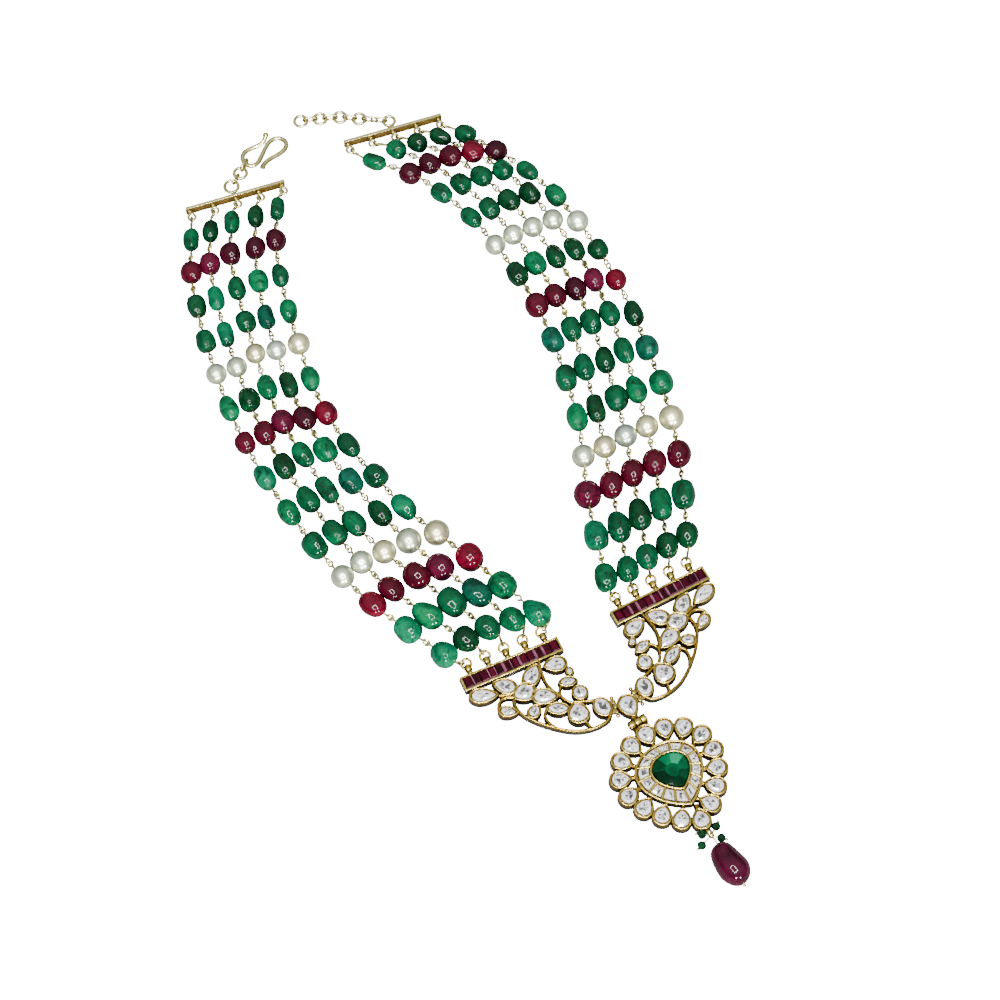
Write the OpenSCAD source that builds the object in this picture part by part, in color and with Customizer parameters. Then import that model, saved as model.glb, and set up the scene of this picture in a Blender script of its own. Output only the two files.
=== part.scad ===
// Five-strand bead necklace laid on a table, with two pierced panels, a hinged pendant
// and an open hook clasp. The back of every plate lies on z = 0, +Y runs from the centre
// link towards the clasp and +X to the right. The origin is under the centre link.

/* [Beads] */
// Size of the first bead of a strand, at the end bar, as a share of the class size
growth_back = 0.82; // [0.75:0.01:0.86]
// Size of the last bead of a strand, at the panel, as a share of the class size
growth_front = 1.06; // [0.95:0.01:1.08]
// Radius of the wire that a strand is strung on
thread_r = 0.4; // [0.3:0.05:0.5]
// Gap between the strand wire and the wall of a bead's hole
bore_gap = 0.15; // [0.1:0.05:0.3]

/* [End bars] */
// Length of an end bar
bar_len = 39.4; // [36:0.2:42]
// Thickness of an end bar
bar_thick = 1.3; // [1:0.1:2]
// Height of an end bar, which stands on edge
bar_height = 4; // [3:0.1:5]
// Distance between the eye loops of an end bar
loop_pitch = 9.1; // [8.6:0.1:9.4]
// Distance from the bar's middle to the centre of an eye loop
loop_drop = 3.4; // [3:0.1:4]

/* [Clasp] */
// Wire radius of the hook
hook_wire_r = 0.75; // [0.6:0.05:0.85]
// Wire radius of the clasp and chain rings
ring_wire_r = 0.5; // [0.4:0.05:0.55]
// Radius of a clasp or chain ring at the middle of its wire
ring_r = 2.6; // [2.5:0.1:2.7]
// Wire radius of the small links between the rings
link_wire_r = 0.35; // [0.3:0.05:0.4]

/* [Panels] */
// Thickness of the enamelled back layer
enamel_thick = 0.8; // [0.5:0.1:1]
// Height of the gold over the table
plate_top = 3.7; // [3.2:0.1:4]
// Width of the gold rim round a stone
rim = 0.85; // [0.6:0.05:1]
// Width of the curved ribs
rib_w = 1; // [0.8:0.1:1.2]
// Length of the bar that holds the red stones
ruby_bar_len = 38.2; // [36:0.2:40]
// Width of the bar that holds the red stones
ruby_bar_w = 5.9; // [5.4:0.1:6.4]
// Distance between the posts of a panel
post_pitch = 7.3; // [7:0.1:7.6]
// Turn of the left panel on the table
left_panel_turn = -2.7; // [-3:0.1:0]
// Turn of the right panel on the table
right_panel_turn = 0.9; // [0:0.1:2]

/* [Pendant] */
// Turn of the pendant on the table
pendant_turn = 3; // [0:0.5:4]
// Number of petals round the pendant
petal_count = 16; // [14:2:18]
// Number of stones in the ring round the green stone
ring_stone_count = 14; // [12:2:16]
// Length of the red drop
drop_len = 16.8; // [15:0.2:18]
// Width of the red drop
drop_w = 11.2; // [10:0.2:12]

/* [Hidden] */

gold = [0.83, 0.68, 0.33];
enamel_green = [0.05, 0.25, 0.16];
emerald_green = [0.0, 0.45, 0.28];
ruby_red = [0.6, 0.04, 0.2];
diamond_white = [0.92, 0.93, 0.95];

EPS = 0.01;
layer_gap = 0.05;
gold_base = enamel_thick + layer_gap;

// Plain helpers for points
function turned(p, a) = [p.x * cos(a) - p.y * sin(a), p.x * sin(a) + p.y * cos(a)];
function mirrored(p, side) = [side * p.x, p.y];
function heading(v) = atan2(v.y, v.x);
function running(list, i = 0, sum = 0) =
    i >= len(list) ? [sum] : concat([sum], running(list, i + 1, sum + list[i]));
function total(list) = running(list)[len(list)];

// Catmull-Rom curve through points, sampled with a number of steps on each stretch
function curve_point(p, i, t) =
    let (
        n = len(p),
        a = i > 0 ? p[i - 1] : 2 * p[0] - p[1],
        b = p[i],
        c = p[i + 1],
        d = i + 2 < n ? p[i + 2] : 2 * p[n - 1] - p[n - 2]
    )
    0.5 * (2 * b + (c - a) * t + (2 * a - 5 * b + 4 * c - d) * t * t
        + (3 * b - a - 3 * c + d) * t * t * t);
function curve(p, steps) = [
    for (i = [0 : len(p) - 2], k = [0 : steps - 1]) curve_point(p, i, k / steps),
    p[len(p) - 1]
];

// Place along a sampled path at a distance from its start: [x, y, heading]
function path_sums(p) = running([for (i = [1 : len(p) - 1]) norm(p[i] - p[i - 1])]);
function path_at(p, sums, s) =
    let (
        n = len(p) - 1,
        i = min(n - 1, max([for (k = [0 : n]) sums[k] <= s + EPS / 100 ? k : 0])),
        f = (s - sums[i]) / (sums[i + 1] - sums[i]),
        at = p[i] + f * (p[i + 1] - p[i])
    )
    [at.x, at.y, heading(p[i + 1] - p[i])];

// Outline of a stone with its tip on +X. Exponents sharpen the tip and the tail: 0 is an
// oval, 0.6 a pear, and the same value for both gives a marquise.
function pear_raw(t, tip, tail) = sin(t) * pow(abs(sin(t / 2)), tip) * pow(abs(cos(t / 2)), tail);
function pear(l, w, tip = 0, tail = 0, n = 24) =
    let (peak = max([for (t = [0 : 3 : 180]) pear_raw(t, tip, tail)]))
    [for (i = [0 : n - 1]) let (t = 360 * i / n)
        [l / 2 * cos(t), w / 2 * pear_raw(t, tip, tail) / peak]];
function placed(points, at, turn) = [for (p = points) turned(p, turn) + at];
function scaled(points, at, k) = [for (p = points) at + (p - at) * k];

// A band of even width along a path, as one outline
function band(p, w) =
    let (
        n = len(p) - 1,
        side = [for (i = [0 : n])
            let (d = p[min(n, i + 1)] - p[max(0, i - 1)]) [-d.y, d.x] / norm(d) * w / 2]
    )
    concat([for (i = [0 : n]) p[i] + side[i]], [for (i = [n : -1 : 0]) p[i] - side[i]]);

// A closed skin over rings of points, each ring as long as the others
module skin(rings) {
    n = len(rings[0]);
    m = len(rings);
    sides = [for (j = [0 : m - 2], i = [0 : n - 1])
        [j * n + i, j * n + (i + 1) % n, (j + 1) * n + (i + 1) % n, (j + 1) * n + i]];
    first = [for (i = [n - 1 : -1 : 0]) i];
    last = [for (i = [0 : n - 1]) (m - 1) * n + i];
    polyhedron([for (r = rings) each r], concat([first], sides, [last]), convexity = 6);
}

// Round wire along points in space, each ring upright and square to its stretch
function wire_ring(at, dir, r, sides) =
    let (d = dir / norm(dir), across = [-d.y, d.x, 0] / norm([d.x, d.y]), up = cross(d, across))
    [for (k = [0 : sides - 1]) let (a = 360 * (k + 0.5) / sides)
        at + r * (cos(a) * across + sin(a) * up)];
module wire(points, r, sides = 8) {
    n = len(points) - 1;
    skin([for (i = [0 : n])
        wire_ring(points[i], points[min(n, i + 1)] - points[max(0, i - 1)], r, sides)]);
}

// A closed wire link with two straight sides and round ends, lying along X on its edge
module oval_link(inner_len, inner_w, r) {
    end_r = inner_w / 2 + r;
    half = (inner_len - inner_w) / 2;
    steps = 6;
    sides = 6;
    mid = concat(
        [for (k = [0 : steps]) let (a = -90 + 180 * k / steps)
            [half + end_r * cos(a), end_r * sin(a), a]],
        [for (k = [0 : steps]) let (a = 90 + 180 * k / steps)
            [-half + end_r * cos(a), end_r * sin(a), a]]);
    n = len(mid);
    points = [for (m = mid, k = [0 : sides - 1]) let (b = 360 * (k + 0.5) / sides)
        [m[0] + r * cos(b) * cos(m[2]), r * sin(b), m[1] + r * cos(b) * sin(m[2])]];
    faces = [for (i = [0 : n - 1], k = [0 : sides - 1])
        [i * sides + k, i * sides + (k + 1) % sides,
            ((i + 1) % n) * sides + (k + 1) % sides, ((i + 1) % n) * sides + k]];
    polyhedron(points, faces, convexity = 6);
}

module ring(r, wire_r) {
    rotate_extrude()
        translate([r, 0])
            circle(r = wire_r);
}

// Strands. Every strand has the same order of beads from the end bar to the panel:
// G green, R red, P pearl.
bead_order = "GRGGPGRGGGPRGG";
bead_count = len(bead_order);

// Classes of bead shape at full size: letter, length, width
bead_classes = [
    ["l", 11.4, 6.1], // long
    ["o", 11.0, 6.9], // oval
    ["b", 10.3, 7.5], // barrel
    ["n", 9.5, 8.0],  // nugget
    ["f", 8.8, 7.3],  // last bead, nearly round
    ["r", 9.4, 8.4],  // red
    ["p", 8.6, 8.6]   // pearl
];
function class_size(c) = [for (k = bead_classes) if (k[0] == c) [k[1], k[2]]][0];
function bead_growth(i) = growth_back + (growth_front - growth_back) * i / (bead_count - 1);
function bead_size(shape, i) = class_size(shape) * bead_growth(i);

// Strands from the outer one to the inner one: bead shapes, then the route as the centre
// of the first bead, hand-picked places along the curve and the centre of the last bead
left_strands = [
    ["lrbbporoobprnf", [[-56.5, 242.5], [-63, 228], [-70.5, 198.5], [-75.5, 153],
        [-71, 106], [-62.5, 75], [-49, 46]]],
    ["orllpbrbobprof", [[-48.5, 242.5], [-54.5, 230], [-62, 200.5], [-67.5, 154],
        [-62.5, 108], [-54, 77], [-39.5, 47.5]]],
    ["lronporoloprbf", [[-39.5, 242.5], [-46, 230], [-53.5, 200], [-59.5, 156.5],
        [-54.5, 108], [-44.5, 78.5], [-30.5, 48]]],
    ["orblplrbboprof", [[-30.5, 240.5], [-36.5, 228], [-46, 198.5], [-51.5, 151],
        [-44, 104.5], [-33.5, 74.5], [-21, 47]]],
    ["lrooporonoprnf", [[-21.5, 240], [-28, 228], [-37, 198], [-43.5, 151.5],
        [-36, 107], [-24.5, 77], [-12.5, 45.5]]]
];
right_strands = [
    ["brobpnronnprbf", [[57, 236.5], [64, 224.5], [74.5, 198.5], [78, 154],
        [71.5, 107.5], [63.5, 79], [50, 47.5]]],
    ["ornbporoooprlf", [[48, 240], [55, 229], [66, 204], [70.5, 159],
        [63, 111.5], [54, 80], [41.5, 47]]],
    ["nrbbporbobprof", [[39, 241.5], [47, 231], [58, 203], [62.5, 156.5],
        [54, 109], [44, 77.5], [33, 46.5]]],
    ["nrbbpbrbolprof", [[30.5, 242.5], [38.5, 231], [50, 202.5], [54.5, 155],
        [45, 107.5], [34.5, 75.5], [24.5, 45.5]]],
    ["lrbopbrbboprbn", [[20.5, 242], [30, 230.5], [42, 202], [46, 155.5],
        [37.5, 108.5], [25.5, 78], [16, 46]]]
];

// Frames of the placed parts: the end bars stand across the strands, a panel turns about
// its hinge with the centre link, and the pendant turns about its bail hinge
left_bar_at = [-33.35, 252.65];
right_bar_at = [33.4, 251.95];
left_bar_turn = -8.6;
right_bar_turn = -8.9;
function bar_point(side, p) = side < 0
    ? left_bar_at + turned(p, left_bar_turn)
    : right_bar_at + turned(p, right_bar_turn);
link_hinge_at = [4.35, 1.6];
link_hinge_turn = 9;
function panel_turn(side) = side < 0 ? left_panel_turn : right_panel_turn;
function panel_point(side, p) =
    let (hinge = mirrored(link_hinge_at, side))
    hinge + turned(mirrored(p, side) - hinge, panel_turn(side));
module on_bar(side) {
    at = side < 0 ? left_bar_at : right_bar_at;
    translate([at.x, at.y, 0])
        rotate(side < 0 ? left_bar_turn : right_bar_turn)
            children();
}
module on_panel(side) {
    hinge = mirrored(link_hinge_at, side);
    translate([hinge.x, hinge.y, 0])
        rotate(panel_turn(side))
            translate([-hinge.x, -hinge.y, 0])
                if (side < 0)
                    mirror([1, 0, 0])
                        children();
                else
                    children();
}
bail_y = -7.2;
bail_z = 2;
module on_pendant() {
    translate([0, bail_y, 0])
        rotate(pendant_turn)
            children();
}

// Round rod and ball of a wire part
module rod(a, b, r) {
    d = b - a;
    translate(a)
        rotate([0, acos(d.z / norm(d)), atan2(d.y, d.x)])
            cylinder(h = norm(d), r = r);
}
module ball(at, r) {
    translate(at)
        sphere(r = r);
}

// Beads on a strand: centre distance along the route, with the same gap between all
function strand_route(def) = curve(def[1], 8);
function strand_sizes(def) = [for (i = [0 : bead_count - 1]) bead_size(def[0][i], i)];
function strand_stations(def, length) =
    let (
        sizes = strand_sizes(def),
        steps = [for (i = [1 : bead_count - 1]) (sizes[i - 1][0] + sizes[i][0]) / 2],
        gap = (length - total(steps)) / (bead_count - 1)
    )
    running([for (s = steps) s + gap]);
// Each bead as [x, y, heading, length, width]
function strand_beads(def) =
    let (
        route = strand_route(def),
        sums = path_sums(route),
        sizes = strand_sizes(def),
        stations = strand_stations(def, sums[len(sums) - 1])
    )
    [for (i = [0 : bead_count - 1]) concat(path_at(route, sums, stations[i]), sizes[i])];

bead_bands = 8;
bead_end = 75;
bore_r = thread_r + bore_gap;
pearl_fullness = 1;
stone_fullness = 0.85;
module bead(length, width, fullness) {
    profile = [for (i = [0 : bead_bands])
        let (t = bead_end * (2 * i / bead_bands - 1))
        [width / 2 * pow(cos(t), fullness), length / 2 * sin(t) / sin(bead_end)]];
    rotate_extrude()
        polygon(concat([[bore_r, -length / 2]], profile, [[bore_r, length / 2]]));
}
module strand(def) {
    beads = strand_beads(def);
    for (i = [0 : bead_count - 1])
        translate([beads[i][0], beads[i][1], beads[i][4] / 2])
            rotate([0, 90, beads[i][2]])
                bead(beads[i][3], beads[i][4],
                    bead_order[i] == "P" ? pearl_fullness : stone_fullness);
}

// Ring on a post: it passes through the post's cross hole and leans up to the strand
post_count = 5;
post_first_x = 45.2;
post_base_y = 34;
post_len = 3.6;
post_r1 = 1.3;
post_r2 = 1;
post_z = 2.4;
post_hole_r = 0.75;
post_hole_y = 36.35;
post_ring_y = 36.2;
post_ring_r = 1.8;
post_ring_wire_r = 0.32;
post_ring_lean = 25;
function post_x(k) = post_first_x - post_pitch * k;

// Wire of a strand: from the bar's loop, through every bead, to the ring on the post
loop_r = 1.35;
loop_wire_r = 0.4;
loop_z = 2.2;
end_gap = 0.2;
bead_clear = 0.3;
function loop_centre(side, k) =
    bar_point(side, [side * ((post_count - 1) / 2 - k) * loop_pitch, -loop_drop]);
function unit(v) = v / norm(v);
function thread_start(side, k, target) =
    let (
        c = loop_centre(side, k),
        p = c + unit(target - c) * (loop_r + loop_wire_r + end_gap)
    )
    [p.x, p.y, loop_z];
function thread_end(side, k, target) =
    let (
        base = panel_point(side, [post_x(k), post_ring_y]),
        centre = panel_point(side, [post_x(k), post_ring_y + post_ring_r * cos(post_ring_lean)]),
        u = unit(target - centre),
        reach = post_ring_r + post_ring_wire_r + end_gap,
        p = centre + u * reach * cos(post_ring_lean)
    )
    [p.x, p.y, post_z + (post_ring_r + reach * u.y) * sin(post_ring_lean)];
function bead_axis(b) = [cos(b[2]), sin(b[2]), 0];
function bead_mid(b) = [b[0], b[1], b[4] / 2];
function bead_side(b, sign) = bead_mid(b) + sign * bead_axis(b) * (b[3] / 2 + bead_clear);
function flat(p) = [p.x, p.y];
module thread(def, side, k) {
    beads = strand_beads(def);
    first = bead_side(beads[0], -1);
    last = bead_side(beads[bead_count - 1], 1);
    route = concat(
        [thread_start(side, k, flat(first))],
        [for (b = beads) each [bead_side(b, -1), bead_side(b, 1)]],
        [thread_end(side, k, flat(last))]);
    color(gold)
        wire(route, thread_r);
}

module left_strand_1() { color(emerald_green) strand(left_strands[0]); }
module left_strand_2() { color(emerald_green) strand(left_strands[1]); }
module left_strand_3() { color(emerald_green) strand(left_strands[2]); }
module left_strand_4() { color(emerald_green) strand(left_strands[3]); }
module left_strand_5() { color(emerald_green) strand(left_strands[4]); }
module right_strand_1() { color(emerald_green) strand(right_strands[0]); }
module right_strand_2() { color(emerald_green) strand(right_strands[1]); }
module right_strand_3() { color(emerald_green) strand(right_strands[2]); }
module right_strand_4() { color(emerald_green) strand(right_strands[3]); }
module right_strand_5() { color(emerald_green) strand(right_strands[4]); }
module left_thread_1() { thread(left_strands[0], -1, 0); }
module left_thread_2() { thread(left_strands[1], -1, 1); }
module left_thread_3() { thread(left_strands[2], -1, 2); }
module left_thread_4() { thread(left_strands[3], -1, 3); }
module left_thread_5() { thread(left_strands[4], -1, 4); }
module right_thread_1() { thread(right_strands[0], 1, 0); }
module right_thread_2() { thread(right_strands[1], 1, 1); }
module right_thread_3() { thread(right_strands[2], 1, 2); }
module right_thread_4() { thread(right_strands[3], 1, 3); }
module right_thread_5() { thread(right_strands[4], 1, 4); }

// End bars, each with five eye loops in front and a ring for the clasp behind
ring_z = 1.5;
left_back_ring_drop = 5.3;
right_back_ring_drop = 4.8;
left_back_ring_r = ring_r;
right_back_ring_r = 2.2;
module end_bar(side, back_r, back_drop) {
    on_bar(side) {
        translate([-bar_len / 2, -bar_thick / 2, 0])
            cube([bar_len, bar_thick, bar_height]);
        for (k = [0 : post_count - 1])
            translate([((post_count - 1) / 2 - k) * loop_pitch, 0, loop_z]) {
                translate([0, -loop_drop, 0])
                    ring(loop_r, loop_wire_r);
                rod([0, 0, 0], [0, -loop_drop + loop_r, 0], loop_wire_r);
            }
        rod([0, 0, ring_z], [0, back_drop - back_r, ring_z], ring_wire_r);
        translate([0, back_drop, ring_z])
            ring(back_r, ring_wire_r);
    }
}
module left_end_bar() { color(gold) end_bar(-1, left_back_ring_r, left_back_ring_drop); }
module right_end_bar() { color(gold) end_bar(1, right_back_ring_r, right_back_ring_drop); }

// Hook: wire route from the ball end to the flared tip. Columns: x, y, height over the
// lie of the hook, which slopes down from the link at its left end to the table.
hook_route = [
    [-11.4, 271.6, 2.2],
    [-12.2, 270.6, 1.6],
    [-13.4, 269.9, 0.8],
    [-15.2, 269.7, 0.2],
    [-18.0, 269.9, 0],
    [-20.8, 269.8, 0],
    [-22.8, 268.8, 0],
    [-23.8, 266.6, 0],
    [-23.6, 264.3, 0],
    [-22.3, 262.6, 0],
    [-20.2, 262.2, 0],
    [-18.0, 263.5, 0],
    [-15.0, 266.4, 0],
    [-12.2, 269.0, 0],
    [-9.9, 270.1, 0],
    [-7.6, 270.0, 0],
    [-5.7, 268.6, 0],
    [-5.1, 266.4, 0],
    [-6.4, 264.1, 0],
    [-9.2, 262.9, 0],
    [-12.4, 262.6, 0],
    [-15.8, 262.1, 0],
    [-17.6, 261.1, 0],
    [-18.4, 260.0, 0]
];
hook_left = -23.8;
hook_right = -5.1;
hook_high = 1.75;
hook_low = 0.8;
hook_ball_r = 1;
hook_tip_r = 0.95;
function hook_z(x) = hook_low + (hook_high - hook_low) * (hook_right - x) / (hook_right - hook_left);
module hook() {
    path = curve([for (p = hook_route) [p[0], p[1], hook_z(p[0]) + p[2]]], 2);
    n = len(path) - 1;
    back = unit(path[0] - path[1]);
    ahead = unit(path[n] - path[n - 1]);
    ball_shares = [0.9, 0.6, 0, -0.4, -0.66];
    body = [for (i = [2 : n - 1]) path[i]];
    mids = concat(
        [for (s = ball_shares) path[0] + back * hook_ball_r * s],
        body,
        [path[n], path[n] + ahead * hook_wire_r / 2]);
    radii = concat(
        [for (s = ball_shares) hook_ball_r * sqrt(1 - s * s)],
        [for (b = body) hook_wire_r],
        [hook_tip_r, hook_tip_r]);
    m = len(mids) - 1;
    color(gold)
        skin([for (i = [0 : m])
            wire_ring(mids[i], mids[min(m, i + 1)] - mids[max(0, i - 1)], radii[i], 8)]);
}

// Clasp rings and links. A link stands on edge and holds the wires of two flat rings.
link_clear = 0.2;
hook_ring_at = [-27, 261.7];
hook_bend_at = [-23.6, 264.3];
hook_link_wire_r = 0.42;
chain_ring_places = [[3.8, 272.4], [10.9, 269.9], [18.1, 267], [24.4, 262.9]];
left_back_ring_at = bar_point(-1, [0, left_back_ring_drop]);
right_back_ring_at = bar_point(1, [0, right_back_ring_drop]);
// Link between wire centres a and b, with the wire radii it has to hold
module link_between(a, b, r_a, r_b, wire_r, height) {
    way = unit(b - a);
    inner = norm(b - a) + r_a + r_b + link_clear;
    mid = (a + way * -r_a + b + way * r_b) / 2;
    color(gold)
        translate([mid.x, mid.y, height / 2 + 2 * wire_r + layer_gap])
            rotate(heading(way))
                oval_link(inner, height, wire_r);
}
module ring_link(c1, r1, c2, r2) {
    way = unit(c2 - c1);
    link_between(c1 + way * r1, c2 - way * r2, ring_wire_r, ring_wire_r, link_wire_r,
        2 * ring_wire_r + 2 * link_clear);
}
module hook_ring() {
    color(gold)
        translate([hook_ring_at.x, hook_ring_at.y, ring_z])
            ring(ring_r, ring_wire_r);
}
module hook_links() {
    ring_link(left_back_ring_at, left_back_ring_r, hook_ring_at, ring_r);
    way = unit(hook_bend_at - hook_ring_at);
    link_between(hook_ring_at + way * ring_r, hook_bend_at, ring_wire_r, hook_wire_r,
        hook_link_wire_r, 2 * hook_wire_r + 1.5 * link_clear);
}
module chain_rings() {
    color(gold)
        for (p = chain_ring_places)
            translate([p.x, p.y, ring_z])
                ring(ring_r, ring_wire_r);
}
module chain_links() {
    last = len(chain_ring_places) - 1;
    for (i = [1 : last])
        ring_link(chain_ring_places[i - 1], ring_r, chain_ring_places[i], ring_r);
    ring_link(chain_ring_places[last], ring_r, right_back_ring_at, right_back_ring_r);
}

// Stones. A stone has a table, a crown, a thin girdle and a pavilion cut off at the base.
stone_gap = 0.1;
stone_lift = 0.05;
stone_sides = 12;
module cut_stone(outline, at, base_k = 0.6, table_k = 0.62) {
    base_z = gold_base + layer_gap;
    table_z = plate_top + stone_lift;
    girdle_z = plate_top - 0.9;
    levels = [[base_z, base_k], [girdle_z, 1], [table_z, table_k]];
    skin([for (l = levels) [for (p = scaled(outline, at, l[1])) [p.x, p.y, l[0]]]]);
}
module stone_at(s, n = stone_sides) {
    cut_stone(placed(pear(s[2], s[3], s[5], s[6], n), [s[0], s[1]], s[4]), [s[0], s[1]]);
}
module pocket_2d(s, n = stone_sides) {
    offset(delta = stone_gap)
        polygon(placed(pear(s[2], s[3], s[5], s[6], n), [s[0], s[1]], s[4]));
}
module bezel_2d(s, width = rim) {
    offset(delta = width)
        polygon(placed(pear(s[2], s[3], s[5], s[6]), [s[0], s[1]], s[4]));
}

// Panels, drawn as the right one with its bar level.
// Columns: x, y, length, width, turn of the tip, sharpness of the tip, of the tail
panel_stones = [
    [44.5, 24.3, 8.4, 4.5, 200, 0.7, 0.1],
    [36.3, 24.5, 7.1, 4.7, 40, 0.7, 0.1],
    [25.8, 24.3, 7.2, 4.8, 138, 0.7, 0.1],
    [31.1, 19.5, 6.9, 5.6, 0, 0.3, 0],
    [25.1, 15.1, 7.5, 5.0, 205, 0.6, 0],
    [16.7, 24.7, 6.8, 4.6, 12, 0.6, 0],
    [15.4, 16.8, 5.0, 2.7, 15, 0.5, 0.5],
    [13.2, 11.3, 4.4, 4.4, 0, 0, 0],
    [39.2, 15.2, 5.0, 3.0, 210, 0.6, 0],
    [30.8, 11.5, 4.1, 3.2, 150, 0.4, 0],
    [22.9, 9.0, 6.8, 3.4, 25, 0.5, 0.5],
    [17.0, 4.7, 6.6, 6.4, 100, 0.6, 0],
    [8.4, 3.1, 6.4, 5.0, 80, 0, 0]
];
small_boss_at = [13.1, 20.2];
small_boss_r = 1.7;
// Ribs, each a route through the openwork
panel_ribs = [
    [[21.3, 28.2], [22.2, 24.7], [22.4, 18.4], [20.1, 12.9]],
    [[19.0, 15.6], [19.9, 13.8], [19.2, 11.1], [17.2, 8.8], [15.6, 7.9]],
    [[15.8, 8.6], [13.1, 7.5], [9.0, 6.3]],
    [[35.8, 18.4], [36.0, 15.6], [35.4, 12.9], [33.5, 9.7], [28.5, 4.3], [22.2, -0.5],
        [18.5, -2.1], [14.9, -2.8], [11.3, -2.8], [8.1, -1.9], [6.4, 0.2]],
    [[27.6, 9.5], [28.3, 7.5], [27.9, 5.2], [26.7, 2.9]],
    [[16.3, 1.5], [15.4, -2.3]],
    [[35.2, 19.3], [38.1, 20.4], [40.4, 19.7], [41.7, 17.9], [41.7, 15.2], [40.4, 12.9]],
    [[35.6, 20.7], [39.7, 22.0]]
];
ruby_bar_x = 11.5;
ruby_bar_y = 28.1;
ruby_margin = 0.9;
ruby_count = 12;
ruby_groove = 0.3;
fillet = 0.3;
hinge_z = 1.9;
hinge_r = 0.95;
hinge_bore_r = 0.45;
hinge_pin_r = 0.35;
hinge_ball_r = 0.65;
knuckle_len = 1.6;
knuckle_gap = 0.15;
knuckle_step = knuckle_len + knuckle_gap;
cut_clear = 0.15;

module panel_2d() {
    offset(r = -fillet, $fn = 8)
        offset(delta = fillet)
            union() {
                translate([ruby_bar_x, ruby_bar_y])
                    square([ruby_bar_len, ruby_bar_w]);
                for (s = panel_stones)
                    bezel_2d(s);
                translate(small_boss_at)
                    circle(r = small_boss_r, $fn = 12);
                for (r = panel_ribs)
                    polygon(band(curve(r, 3), rib_w));
            }
}
module ruby_field_2d(inset) {
    translate([ruby_bar_x + ruby_margin + inset, ruby_bar_y + ruby_margin + inset])
        square([ruby_bar_len - 2 * ruby_margin - 2 * inset,
            ruby_bar_w - 2 * ruby_margin - 2 * inset]);
}
// Knuckles of a hinge along Y, from a middle place by a number of steps
module knuckle(step, length, r) {
    translate([0, step * knuckle_step - length / 2, hinge_z])
        rotate([-90, 0, 0])
            cylinder(h = length, r = r);
}
module on_link_hinge(turn = link_hinge_turn) {
    translate([link_hinge_at.x, link_hinge_at.y, 0])
        rotate(turn)
            children();
}
web_low = 1.3;
web_high = 2.8;
link_web = 1.3;
module panel(side) {
    axis_turn = link_hinge_turn - side * panel_turn(side);
    difference() {
        union() {
            translate([0, 0, gold_base])
                linear_extrude(height = plate_top - gold_base)
                    difference() {
                        panel_2d();
                        for (s = panel_stones)
                            pocket_2d(s);
                        ruby_field_2d(0);
                    }
            for (k = [0 : post_count - 1])
                translate([post_x(k), post_base_y - EPS, post_z])
                    rotate([-90, 0, 0])
                        cylinder(h = post_len, r1 = post_r1, r2 = post_r2);
            on_link_hinge(axis_turn)
                for (step = [-1, 1]) {
                    knuckle(step, knuckle_len, hinge_r);
                    translate([0, step * knuckle_step - knuckle_len / 2, web_low])
                        cube([hinge_r + rim, knuckle_len, web_high - web_low]);
                }
        }
        for (k = [0 : post_count - 1])
            translate([post_x(k) - 2 * post_r1, post_hole_y, post_z])
                rotate([0, 90, 0])
                    cylinder(h = 4 * post_r1, r = post_hole_r);
        on_link_hinge(axis_turn) {
            knuckle(0, 4 * knuckle_step, hinge_bore_r);
            knuckle(0, knuckle_len + 2 * cut_clear, hinge_r + cut_clear);
        }
    }
}
module panel_enamel() {
    linear_extrude(height = enamel_thick)
        panel_2d();
}
module ruby_row() {
    low = gold_base + layer_gap;
    top = plate_top - 0.1;
    pitch = (ruby_bar_len - 2 * ruby_margin) / ruby_count;
    difference() {
        translate([0, 0, low])
            linear_extrude(height = top - low)
                ruby_field_2d(stone_gap);
        for (k = [1 : ruby_count - 1])
            translate([ruby_bar_x + ruby_margin + k * pitch, ruby_bar_y, top])
                rotate([-90, 0, 0])
                    cylinder(h = ruby_bar_w, r = ruby_groove, $fn = 4);
    }
}
module post_rings(side) {
    on_panel(side)
        for (k = [0 : post_count - 1])
            translate([post_x(k), post_ring_y, post_z])
                rotate([post_ring_lean, 0, 0])
                    translate([0, post_ring_r, 0])
                        ring(post_ring_r, post_ring_wire_r);
}
module left_panel() { color(gold) on_panel(-1) panel(-1); }
module right_panel() { color(gold) on_panel(1) panel(1); }
module left_panel_enamel() { color(enamel_green) on_panel(-1) panel_enamel(); }
module right_panel_enamel() { color(enamel_green) on_panel(1) panel_enamel(); }
module left_panel_stones() { color(diamond_white) on_panel(-1) for (s = panel_stones) stone_at(s); }
module right_panel_stones() { color(diamond_white) on_panel(1) for (s = panel_stones) stone_at(s); }
module left_ruby_row() { color(ruby_red) on_panel(-1) ruby_row(); }
module right_ruby_row() { color(ruby_red) on_panel(1) ruby_row(); }
module left_post_rings() { color(gold) post_rings(-1); }
module right_post_rings() { color(gold) post_rings(1); }

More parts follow.
